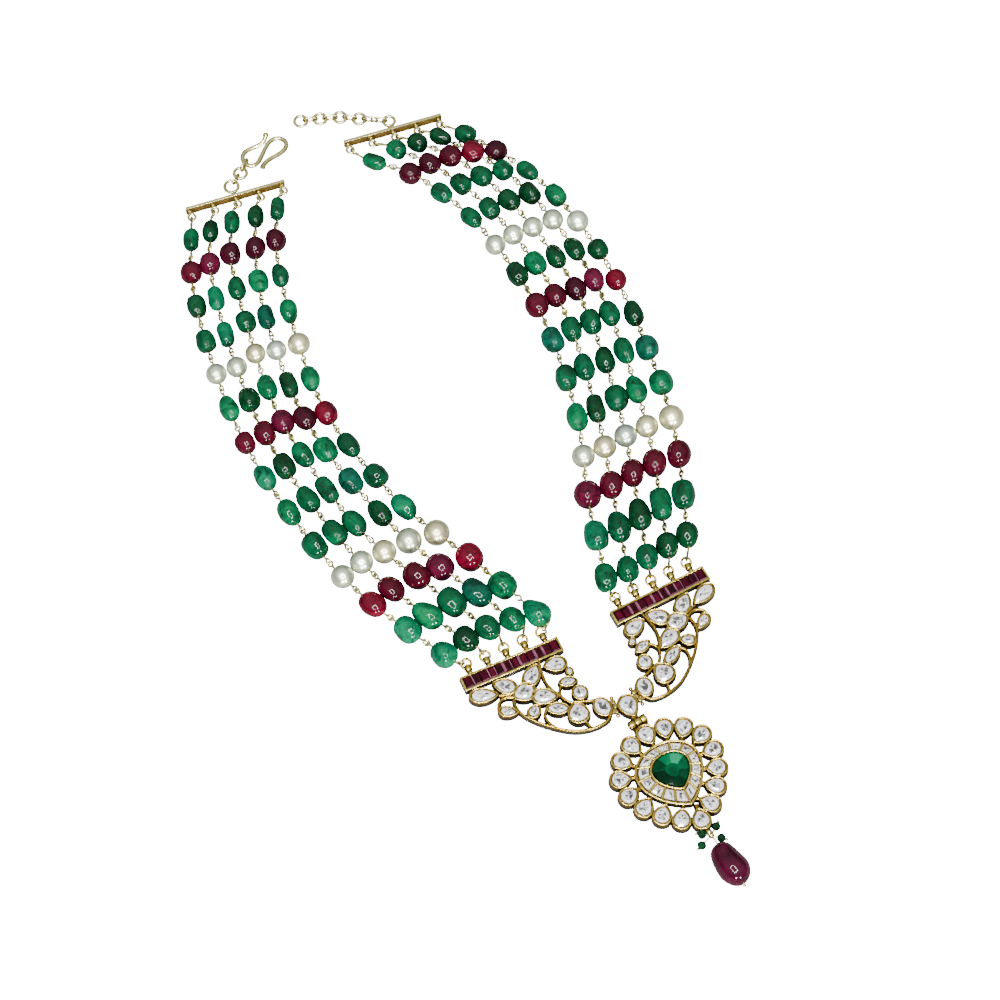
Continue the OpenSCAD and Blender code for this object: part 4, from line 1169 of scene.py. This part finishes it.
def model_post():
    """A pierced post along +Y: a waisted peg with a rounded head and a cross hole."""
    def turned_part(start, end, radii):
        return model_rod((0, start, post_z), (0, end, post_z), radii[0], 18, radii[1])
    post = turned_part(-post_sink, post_len, post_radii)
    start_edit(post)
    pick_faces(post, lambda c, n: n.y > looks_along)
    step_in(*post_top_step)
    end_edit()
    collar = turned_part(0, post_collar_len, post_collar_radii)
    soften(collar, 0.2, 2, 60)
    head = turned_part(post_head_y, post_len, post_head_radii)
    soften(head, 0.35, 3, 60)
    post = join_as("post", [post, collar, head])
    drill = model_rod((-3, post_hole_y, post_z), (3, post_hole_y, post_z), post_hole_r, 14)
    cut = post.modifiers.new("cross_hole", "BOOLEAN")
    cut.operation = "DIFFERENCE"
    cut.solver = "EXACT"
    cut.use_self = True
    cut.object = drill
    apply_modifiers(post)
    remove(drill)
    smooth(post, 45)
    return post

def on_both_panels(name, parts):
    """Joins parts drawn for the right panel and copies them to both, mirrored on the left."""
    master = join_as(name, parts)
    copies = {}
    for side, sign in sides.items():
        hinge = Vector((sign * hinge_at[0] * MM, hinge_at[1] * MM, 0))
        piece = copy_of(master, Matrix.Translation(hinge) @ turned(panel_turns[side])
                        @ Matrix.Translation(-hinge) @ Matrix.Diagonal((sign, 1, 1, 1)))
        if sign < 0:
            start_edit(piece, whole=True)
            bpy.ops.mesh.flip_normals()
            end_edit()
        piece.name = f"{side}_{name}"
        copies[side] = piece
    remove(master)
    return copies

parts = []
for x, y, length, width, turn, tip, tail, rim_w, count in panel_seats:
    bezel = model_bezel(length, width, tip, tail, gold_base, plate_top, rim_w, count)
    bake_place(bezel, flat_place(x, y, turn))
    parts.append(bezel)
for route in panel_ribs:
    parts.append(model_rib(route, gold_base, rib_top, rib_w))
channel = box_at((bar_x, bar_y, gold_base), (bar_x + ruby_len, bar_y + ruby_wide, plate_top))
start_edit(channel)
pick_faces(channel, lambda c, n: n.z > looks_along)
step_in(channel_wall, 0)
raise_faces(ruby_floor - plate_top)
end_edit()
soften(channel, 0.18, 3, 60)
smooth(channel, 40)
parts.append(channel)
post = model_post()
parts += [copy_of(post, flat_place(post_first_x - post_pitch * k, post_base_y, 0))
          for k in range(strand_count)]
remove(post)
for step in (-1, 1):
    knuckle = model_knuckle(step)
    web = box_at((0, step * knuckle_step - knuckle_len / 2, web_low),
                 (hinge_r + rim, step * knuckle_step + knuckle_len / 2, web_high))
    for piece in (knuckle, web):
        bake_place(piece, flat_place(*hinge_at, hinge_turn))
        piece.data.materials.append(deep_gold)
        parts.append(piece)

def fill_slots(parts, material):
    """Gives a material to the parts that have none of their own."""
    for part in parts:
        if not part.data.materials:
            part.data.materials.append(material)

fill_slots(parts, bezel_gold)
for side, panel in on_both_panels("panel_gold", parts).items():
    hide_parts(f"{side}_panel")
    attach(panel, "necklace")


# Panel backs: dark green enamel under every bezel, rib and bar, fused on as a thick layer
# that shows as a glossy blackish edge along the foot of the gold.
enamel_top = gold_base + 0.05
enamel_out = 0.06
enamel_foot = 0.25

enamel = new_material("dark_green_enamel")
enamel_colour = ramp_of(enamel, noise_at(enamel, 130, 4, 0.5),
                        [(0.3, (0.000, 0.008, 0.003)), (0.7, (0.001, 0.026, 0.012))])
finish_surface(enamel, enamel_colour, (600, 3), (0.10, 0.28), (260, 3), (0.2, 0.2),
               {"Specular IOR Level": 0.35})

def model_pad(points):
    """A flat pad of enamel under a setting, with a rounded lower edge."""
    pad = disc_of(points, 0)
    across = max(abs(x) for x, y in points)
    foot = 1 - enamel_foot / across
    start_edit(pad, whole=True)
    resize_about_origin((foot, foot))
    raise_faces(enamel_foot, (1 / foot, 1 / foot))
    raise_faces(enamel_top - enamel_foot)
    end_edit()
    close_edges(pad)
    smooth(pad, 40)
    return pad

def bezel_pad(length, width, tip, tail, rim_w):
    return model_pad(setting_points(length, width, tip, tail, rim_w + enamel_out, 28))

parts = []
for x, y, length, width, turn, tip, tail, rim_w, count in panel_seats:
    pad = bezel_pad(length, width, tip, tail, rim_w)
    bake_place(pad, flat_place(x, y, turn))
    parts.append(pad)
for route in panel_ribs:
    parts.append(model_rib(route, 0, enamel_top + rib_w / 2, rib_w + 2 * enamel_out))
bar_pad = box_at((bar_x - enamel_out, bar_y - enamel_out, 0),
                 (bar_x + ruby_len + enamel_out, bar_y + ruby_wide + enamel_out, enamel_top))
soften(bar_pad, 0.2, 2, 60)
smooth(bar_pad, 40)
parts.append(bar_pad)
for side, back in on_both_panels("panel_back_enamel", parts).items():
    back.data.materials.append(enamel)
    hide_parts(f"{side}_panel_enamel")
    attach(back, "necklace")


# Clear stones: flat uncut diamonds over polished foil. Each facet is painted one flat tone as a
# painted reflection: most of a stone is painted white, and the small facets in its middle grey.
stone_gap = 0.1
stone_girdle = 3.25
stone_depth = 0.5
crown_rise = 0.45
crown_k = 0.74
star_rise = 0.14
star_k = 0.70
stone_taper = 0.28
heart_dip = 0.05
# Painted reflection tones of the facets from the girdle to the middle, and where over the crown
# they begin
star_from = -0.1
heart_from = 0.6 * star_rise
crown_reflection_tones = (1.0, 0.96, 0.86, 1.0, 1.0)
star_reflection_tones = (0.98, 0.36, 0.92, 0.12, 0.72, 0.98)
heart_reflection_tones = (0.02, 0.88, 0.08, 0.98, 0.04, 0.36)

foiled_stone = new_material("foiled_clear_stone")
foiled_colour = clouded(foiled_stone, tone_of(foiled_stone), (700, 3, 1.2),
                        [(0.34, grey(0.86)), (0.62, grey(1.0))])
finish_surface(foiled_stone, foiled_colour, (1500, 2), (0.04, 0.14), (450, 3), (0.15, 0.2),
               {"IOR": 2.0, "Metallic": 0.1})

def paint_faces(obj, colour_of):
    """Gives each face one flat colour, from its middle and its normal."""
    layer = obj.data.color_attributes.new("tone", "FLOAT_COLOR", "CORNER")
    for face in obj.data.polygons:
        colour = colour_of(face.center, face.normal)
        for corner in face.loop_indices:
            layer.data[corner].color = (*colour, 1)

def facet_reflection_colour(middle, normal):
    """A painted reflection: a tone of grey drawn from those of the facet's own ring."""
    height = middle.z / MM - stone_girdle - crown_rise
    tones = crown_reflection_tones
    if height > star_from:
        tones = star_reflection_tones
    if height > heart_from:
        tones = heart_reflection_tones
    tone = random.choice(tones)
    return tone, tone, tone * 1.01

def model_stone(points, across):
    """A flat cut stone from its outline: girdle, crown, star facets and a dished middle."""
    stone = disc_of(points, stone_girdle - stone_depth)
    foot = 1 - stone_taper / across
    start_edit(stone, whole=True)
    resize_about_origin((foot, foot))
    for height, size in ((stone_depth, 1 / foot), (crown_rise, crown_k), (star_rise, star_k)):
        raise_faces(height, (size, size))
    bpy.ops.mesh.poke(offset=-heart_dip * MM)
    end_edit()
    close_edges(stone)
    paint_faces(stone, facet_reflection_colour)
    return stone

def set_stone(x, y, length, width, turn, tip, tail):
    """A clear stone of eleven sides in its place."""
    stone = model_stone(pear_points(length, width, tip, tail, 11), min(length, width))
    bake_place(stone, flat_place(x, y, turn))
    return stone

parts = [set_stone(*stone) for stone in panel_stones + [boss_stone]]
for side, stones in on_both_panels("panel_clear_stones", parts).items():
    stones.data.materials.append(foiled_stone)
    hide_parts(f"{side}_panel_stones")
    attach(stones, "necklace")


# Red rows: twelve square step-cut rubies in each bar, set side by side and held by the two
# walls of the channel. Their facets are painted by the way they face: painted glints on some front
# and end facets, painted shade on the others.
ruby_count = 12
ruby_seam = 0.04
ruby_top = 3.62
ruby_pitch = (ruby_len - 2 * ruby_margin) / ruby_count
# Steps of a stone, in and up; where its table and its upper step begin; how steep a side
# facet is; the shares of front and end facets that carry a painted glint; and the colours, the
# last of them the painted glint
ruby_steps = [(0.38, 0.25), (0.42, 0.10)]
ruby_rise = 0.35
ruby_table_z = ruby_top - 0.06
ruby_step_z = ruby_top - 0.4
ruby_slope = 0.3
ruby_glint_share = 0.65
ruby_end_glint_share = 0.4
ruby_deep = (0.012, 0.000, 0.002)
ruby_mid = (0.034, 0.000, 0.006)
ruby_bright = (0.066, 0.000, 0.010)
ruby_painted_glint = (0.260, 0.085, 0.145)

channel_ruby = new_material("channel_ruby")
channel_colour = clouded(channel_ruby, tone_of(channel_ruby), (500, 4, 0.8),
                         [(0.30, grey(0.55)), (0.70, grey(1.15))])
finish_surface(channel_ruby, channel_colour, (900, 2), (0.05, 0.16), (600, 3), (0.12, 0.15),
               {"Specular IOR Level": 0.12})

def model_square_ruby(x):
    """A square stone with two steps; its facets are painted by the way they face, and some between
    its steps carry a painted glint.
    """
    inside = ruby_margin + stone_gap / 2
    stone = box_at((x + ruby_seam, bar_y + inside, ruby_floor),
                   (x + ruby_pitch - ruby_seam, bar_y + ruby_wide - inside,
                    ruby_top - ruby_rise))
    start_edit(stone)
    pick_faces(stone, lambda c, n: n.z > looks_along)
    for step in ruby_steps:
        step_in(*step)
    end_edit()
    front_glint = ruby_painted_glint if random.random() > 1 - ruby_glint_share else ruby_mid

    # Painted light: front and end facets may take a painted glint, back facets a middle tone and
    # the rest painted shade; the table takes random tones
    def step_painted_light(middle, normal):
        height = middle.z / MM
        if height > ruby_table_z:
            return random.choice((ruby_mid, ruby_deep, ruby_bright))
        if normal.y < -ruby_slope and height > ruby_step_z:
            return front_glint
        if normal.y > ruby_slope:
            return ruby_mid
        if abs(normal.x) > ruby_slope and random.random() > 1 - ruby_end_glint_share:
            return ruby_painted_glint
        return ruby_deep
    paint_faces(stone, step_painted_light)
    return stone

parts = [model_square_ruby(bar_x + ruby_margin + k * ruby_pitch) for k in range(ruby_count)]
for side, rubies in on_both_panels("channel_rubies", parts).items():
    rubies.data.materials.append(channel_ruby)
    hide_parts(f"{side}_ruby_row")
    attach(rubies, "necklace")


# Centre link: one pear-shaped setting that carries the middle knuckle of both panel hinges
# and, at its tip, the middle knuckle of the pendant's hinge. Small balls close the pins.
link_stone = (0, -0.6, 7.2, 5.8, -90, 0.6, 0)
link_rim = 0.95
link_top = plate_top + 0.1
link_web = 1.3
hinge_pin_r = 0.35
hinge_ball_r = 0.85
bail_y = -7.2
bail_z = 2.0
bail_knuckle_r = 1.85
bail_mid_len = 2.3
bail_side_len = 2.2
bail_gap = 0.08
bail_tongue = 2.6
pendant_turn = 3
pendant_place = flat_place(0, bail_y, pendant_turn)

def bail_barrel(x, length):
    """A barrel-shaped knuckle of the pendant hinge, along X."""
    barrel = model_rod((x - length / 2, 0, bail_z), (x + length / 2, 0, bail_z),
                       bail_knuckle_r, 22)
    soften(barrel, 0.36, 4, 60)
    smooth(barrel, 50)
    return barrel

x, y, length, width, turn, tip, tail = link_stone
setting = model_bezel(length, width, tip, tail, 0.0, link_top, link_rim)
bake_place(setting, flat_place(x, y, turn))
parts = [setting]
pin_half = 1.5 * knuckle_step + hinge_ball_r
for sign in (-1, 1):
    hinge_parts = [model_knuckle(0),
                   box_at((-link_web, -knuckle_len / 2, web_low), (0, knuckle_len / 2, web_high)),
                   model_rod((0, -pin_half, hinge_z), (0, pin_half, hinge_z), hinge_pin_r)]
    hinge_parts += [model_ball((0, end * pin_half, hinge_z), hinge_ball_r) for end in (-1, 1)]
    for piece in hinge_parts:
        bake_place(piece, Matrix.Diagonal((sign, 1, 1, 1)) @ flat_place(*hinge_at, hinge_turn))
        if sign < 0:
            start_edit(piece, whole=True)
            bpy.ops.mesh.normals_make_consistent(inside=False)
            end_edit()
        piece.data.materials.append(deep_gold)
        parts.append(piece)
barrel = bail_barrel(0, bail_mid_len)
bake_place(barrel, pendant_place)
tongue = box_at((-bail_mid_len / 2, bail_y, web_low),
                (bail_mid_len / 2, bail_y + bail_tongue, web_high))
parts += [barrel, tongue]
fill_slots(parts, bezel_gold)
centre_link = join_as("centre_link_gold", parts)
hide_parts("centre_link")
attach(centre_link, "necklace")

centre_stone = join_as("centre_clear_stone", [set_stone(*link_stone)])
centre_stone.data.materials.append(foiled_stone)
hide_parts("centre_stone")
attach(centre_stone, "necklace")

nodes["bail_pin"].data.materials.clear()
nodes["bail_pin"].data.materials.append(bar_gold)


# Pendant: sixteen petal settings whose tails meet a pear-shaped ring. The ring is a floor
# with an outer and an inner wall and thin dividers, and holds fourteen small stones round
# one large green stone. Two knuckles on a bracket hang it on the bail pin.
petal_count = 16
petal_size = (5.9, 5.2)
petal_rim = 1.05
petal_tail = 1.6
petal_tail_w = 1.9
# Length, width and middle of the lines on which the petals and the ring lie
petal_line = (36.0, 34.4, (0, -23.9))
ring_line = (25.3, 24.9, (0, -23.25))
emerald_line = (13.6, 13.4, (0.7, -22.1))
pear_tip = 0.6
ring_rim = 0.9
emerald_rim = 0.8
ring_stone_count = 14
ring_floor_z = 2.6
ring_floor_play = 0.3
divider_w = 1.0
tail_top = plate_top - 0.35
wall_top = plate_top + 0.15
divider_top = plate_top + 0.02
bracket_y = (-3.8, -0.4)
bracket_high = 1.2

def pear_down(line, extra=0, count=96):
    """A pear line with its tip towards -Y, longer and wider by an extra, listed from its top."""
    length, width, centre = line
    points = [(y + centre[0], -x + centre[1])
              for x, y in pear_points(length + extra, width + extra, pear_tip, 0, count)]
    half = count // 2
    return points[half:] + points[:half]

def ring_points(extra):
    return pear_points(ring_line[0] + extra, ring_line[1] + extra, pear_tip, 0, 48)

def spread(line, count):
    """Places at equal steps along a closed line: x, y and heading in degrees."""
    loop = [Vector(p) for p in line] + [Vector(line[0])]
    runs = [(loop[i + 1] - loop[i]).length for i in range(len(line))]
    whole = sum(runs)
    places = []
    for k in range(count):
        left = whole * k / count
        i = 0
        while left > runs[i]:
            left -= runs[i]
            i += 1
        way = loop[i + 1] - loop[i]
        at = loop[i] + way * (left / runs[i])
        places.append((at.x, at.y, math.degrees(math.atan2(way.y, way.x))))
    return places

petal_places = [(x, y, turn + 90) for x, y, turn in spread(pear_down(petal_line), petal_count)]

def petals_with_tails(petal, low, high):
    """Copies of a petal all round, each with the short wall that leads from it to the ring."""
    parts = []
    start = petal_size[0] / 2
    for place in petal_places:
        tail = model_rib([(start, 0), (start + petal_tail + rib_w, 0)], low, high, petal_tail_w)
        bake_place(tail, flat_place(*place))
        parts += [copy_of(petal, flat_place(*place)), tail]
    remove(petal)
    return parts

petal = model_bezel(*petal_size, 0.5, 0, gold_base, plate_top, petal_rim)
parts = petals_with_tails(petal, gold_base, tail_top)
floor = disc_of(ring_points(-ring_floor_play), gold_base)
bake_place(floor, flat_place(*ring_line[2], -90))
start_edit(floor, whole=True)
raise_faces(ring_floor_z - gold_base)
end_edit()
close_edges(floor)
parts.append(floor)
parts += [model_rib(pear_down(ring_line, -ring_rim, 36), gold_base, wall_top, ring_rim, True),
          model_rib(pear_down(emerald_line, emerald_rim, 30), gold_base, wall_top, emerald_rim,
                    True)]
cell_outer = spread(pear_down(ring_line, -2 * ring_rim), 2 * ring_stone_count)
cell_inner = spread(pear_down(emerald_line, 2 * emerald_rim), 2 * ring_stone_count)
for outer, inner in zip(cell_outer[::2], cell_inner[::2]):
    parts.append(model_rib([outer[:2], inner[:2]], gold_base, divider_top, divider_w))
for sign in (-1, 1):
    x = sign * (bail_mid_len / 2 + bail_gap + bail_side_len / 2)
    parts.append(bail_barrel(x, bail_side_len))
    parts.append(box_at((x - bail_side_len / 3, bracket_y[0], gold_base),
                        (x + bail_side_len / 3, bracket_y[1], gold_base + bracket_high)))
pendant_gold = join_as("pendant_gold", parts)
bake_place(pendant_gold, pendant_place)
pendant_gold.data.materials.append(bezel_gold)
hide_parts("pendant_frame")
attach(pendant_gold, "pendant")


# Pendant back: the same dark green enamel under the petals, their tails and the ring, fused
# to the underside of the gold in one layer.
petal_pad = bezel_pad(*petal_size, 0.5, 0, petal_rim)
parts = petals_with_tails(petal_pad, 0, enamel_top + petal_tail_w / 2)
ring_pad = model_pad(ring_points(2 * enamel_out))
bake_place(ring_pad, flat_place(*ring_line[2], -90))
parts.append(ring_pad)
pendant_back = join_as("pendant_back_enamel", parts)
bake_place(pendant_back, pendant_place)
pendant_back.data.materials.append(enamel)
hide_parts("pendant_enamel")
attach(pendant_back, "pendant")


# Pendant stones: sixteen clear pears in the petals and fourteen small four-sided stones in
# the cells of the ring, cut and foiled as the stones of the panels.
cell_fill = 0.77
cell_across = 2.3

petal_stones = join_as("petal_clear_stones", [
    set_stone(x, y, *petal_size, turn, 0.5, 0) for x, y, turn in petal_places])
bake_place(petal_stones, pendant_place)
petal_stones.data.materials.append(foiled_stone)
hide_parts("petal_stones")
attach(petal_stones, "pendant")

def model_cell_stone(k):
    """A stone that fills most of the cell between two dividers of the ring."""
    count = 2 * ring_stone_count
    spots = [cell_outer[(2 * k + i) % count] for i in range(3)]
    spots += [cell_inner[(2 * k + i) % count] for i in (2, 1, 0)]
    middle = Vector((sum(s[0] for s in spots) / 6, sum(s[1] for s in spots) / 6))
    points = [((s[0] - middle.x) * cell_fill, (s[1] - middle.y) * cell_fill) for s in spots]
    points.sort(key=lambda p: math.atan2(p[1], p[0]) % (2 * math.pi))
    stone = model_stone(points, cell_across)
    bake_place(stone, flat_place(middle.x, middle.y, 0))
    return stone

ring_stones = join_as("ring_clear_stones",
                      [model_cell_stone(k) for k in range(ring_stone_count)])
bake_place(ring_stones, pendant_place)
ring_stones.data.materials.append(foiled_stone)
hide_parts("ring_stones")
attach(ring_stones, "pendant")


# Green centre stone: a low dome of deep green with a small flat table, painted flashes of light
# at its top, painted shade at one side and a dark edge where it meets its rim.
emerald_count = 40
emerald_steps = [(0.0, 0.35), (0.18, 0.40), (0.45, 0.50), (1.55, 0.22), (1.95, 0.23), (0.9, 0.04)]
emerald_foot_z = 2.7
# Painted light by eighths of a turn from the tip: a painted flash at the top, painted shade at one
# side
emerald_painted_light = [(0.000, 0.020, 0.006), (0.000, 0.034, 0.011), (0.000, 0.075, 0.026),
                  (0.000, 0.260, 0.110), (0.000, 0.125, 0.045), (0.000, 0.034, 0.011),
                  (0.000, 0.013, 0.004), (0.000, 0.016, 0.006)]
emerald_table = (0.000, 0.060, 0.020)
emerald_table_r = 2.6
emerald_play = 0.2

big_emerald = new_material("centre_emerald")
big_colour = clouded(big_emerald, tone_of(big_emerald), (240, 4, 0.8),
                     [(0.3, grey(0.55)), (0.7, grey(1.25))])
finish_surface(big_emerald, big_colour, (600, 2), (0.03, 0.10), (300, 2), (0.05, 0.2),
               {"Specular IOR Level": 0.07})

# Painted light: the table keeps its own tone, every other facet the painted flash or shade of its
# eighth
def emerald_colour(middle, normal):
    if math.hypot(middle.x, middle.y) / MM < emerald_table_r:
        return emerald_table
    return emerald_painted_light[int((math.degrees(math.atan2(middle.y, middle.x)) + 22.5) % 360 / 45)]

emerald_size = [size - emerald_play for size in emerald_line[:2]]
emerald = disc_of(pear_points(*emerald_size, pear_tip, 0, emerald_count), emerald_foot_z)
start_edit(emerald, whole=True)
step_up(*emerald_size, emerald_steps)
bpy.ops.mesh.poke(offset=0)
end_edit()
close_edges(emerald)
paint_faces(emerald, emerald_colour)
emerald = join_as("pendant_green_stone", [emerald])
smooth(emerald, 22)
bake_place(emerald, pendant_place @ flat_place(*emerald_line[2], -90))
emerald.data.materials.append(big_emerald)
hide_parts("pendant_emerald")
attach(emerald, "pendant")


# Drop: a cap ball under the pendant, four small dark green beads on short wires with ball
# ends, and one large tumbled ruby drop on a wire that ends in a small gold ball.
hub = Vector((-0.1, -48.6, 2.4))
cluster_places = [Vector(at) for at in ((3.2, -46.4, 1.75), (-2.75, -46.7, 2.6),
                                        (-4.7, -49.8, 1.75), (2.55, -50.9, 1.75))]
cluster_r = 1.35
cluster_bead_r = 1.7
cluster_flat = 0.94
cluster_ball_r = 0.6
cap_at = (-0.2, -47.3, 2.5)
cap_r = 1.3
cap_wire_r = 0.45
hanger_wire_r = 0.34
knot_ring_r = 0.8
knot_rings = 4
drop_top_y = -53.0
drop_x = -0.6
drop_len = 16.8
drop_w = 11.2
drop_end_r = 0.58
drop_eye_r = 0.42
drop_hole_r = 0.45
drop_hole_depth = 0.9
# Shares of the length from which the top and the upper half are resized, and by how much
drop_top_from = 0.44
drop_top_size = (1.1, 0.9, 1.1)
drop_upper_from = 0.1
drop_upper_size = (0.93, 1, 0.93)
drop_dent_out = 0.46
drop_dent_patch = 2.2
drop_tone = (0.042, 0.001, 0.012)
# Flats and swells of the drop: way from its axis, place along it, how far it is pushed out
drop_dents = [((1, 0, 0.3), 3.5, -0.35), ((-1, 0, 0.4), -3.5, -0.3), ((0.5, 0, 1), 1.0, -0.3),
              ((0.9, 0, -0.1), -4.5, 0.3), ((0, 0, 1), -4.0, 0.3)]
drop_eye_out = 1.2
drop_hole_top = Vector((drop_x, drop_top_y + drop_eye_out, drop_w / 2))
drop_hole_end = Vector((drop_x, drop_top_y - drop_len - drop_end_r, drop_w / 2))

parts = [model_ball(cap_at, cap_r), model_ball(drop_hole_end, drop_end_r),
         model_ball(drop_hole_top, drop_eye_r), model_rod(cap_at, hub, cap_wire_r),
         model_rod(hub, drop_hole_top, hanger_wire_r),
         model_rod(drop_hole_top, drop_hole_end, hanger_wire_r)]
for k in range(knot_rings):
    tilt = [math.radians(angle) for angle in (30 + 40 * k, 50 * k, 70 * k)]
    parts.append(model_ring(knot_ring_r, hanger_wire_r, hub, tilt, 14, 6))
for place in cluster_places:
    stop = place + (place - hub).normalized() * (cluster_r + cluster_ball_r)
    parts.append(model_rod(hub, stop, hanger_wire_r, 8))
    parts.append(model_ball(stop, cluster_ball_r, 12, 8))
hanger = join_as("drop_hanger_gold", parts)
bake_place(hanger, pendant_place)
hanger.data.materials.append(wire_gold)
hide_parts("drop_hanger")
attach(hanger, "pendant")

parts = []
for place in cluster_places:
    bead = new_shape(bpy.ops.mesh.primitive_ico_sphere_add, subdivisions=2,
                     radius=cluster_bead_r * MM)
    start_edit(bead, whole=True)
    bpy.ops.transform.resize(value=(cluster_flat, 1, 1))
    end_edit()
    bake_place(bead, axis_matrix(place, (place - hub).normalized(), random.uniform(0, 3)))
    set_tone(bead, tone_colours["d"])
    parts.append(bead)
cluster = join_as("cluster_green_beads", parts)
bake_place(cluster, pendant_place)
cluster.data.materials.append(emerald_stone)
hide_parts("drop_cluster")
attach(cluster, "pendant")

drop = new_shape(bpy.ops.mesh.primitive_uv_sphere_add, segments=40, ring_count=26,
                 radius=drop_w / 2 * MM, rotation=(math.pi / 2, 0, 0))
start_edit(drop, whole=True)
bpy.ops.transform.resize(value=(1, drop_len / drop_w, 1))
pick_verts(drop, lambda c: c.y > drop_top_from * drop_len)
bpy.ops.transform.resize(value=drop_top_size, **soft_edit(5))
pick_verts(drop, lambda c: c.y > drop_upper_from * drop_len)
bpy.ops.transform.resize(value=drop_upper_size, **soft_edit(6))
for way, along, push in drop_dents:
    way = Vector(way).normalized()
    spot = way * drop_w * drop_dent_out + Vector((0, along, 0))
    pick_verts(drop, lambda c: (c - spot).length < drop_dent_patch)
    bpy.ops.transform.translate(value=way * push * MM, **soft_edit(7))
end_edit()
fit_to(drop, (-drop_w / 2, -drop_len / 2, -drop_w / 2), (drop_w / 2, drop_len / 2, drop_w / 2))
drill_ends(drop, 1, drop_len / 2, drop_hole_r, drop_hole_depth)
drop = join_as("ruby_drop_stone", [drop])
smooth(drop, 40)
set_tone(drop, drop_tone)
drop_middle = Vector((drop_x, drop_top_y - drop_len / 2, drop_w / 2))
bake_place(drop, pendant_place @ Matrix.Translation(drop_middle * MM))
drop.data.materials.append(ruby_stone)
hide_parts("ruby_drop")
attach(drop, "pendant")
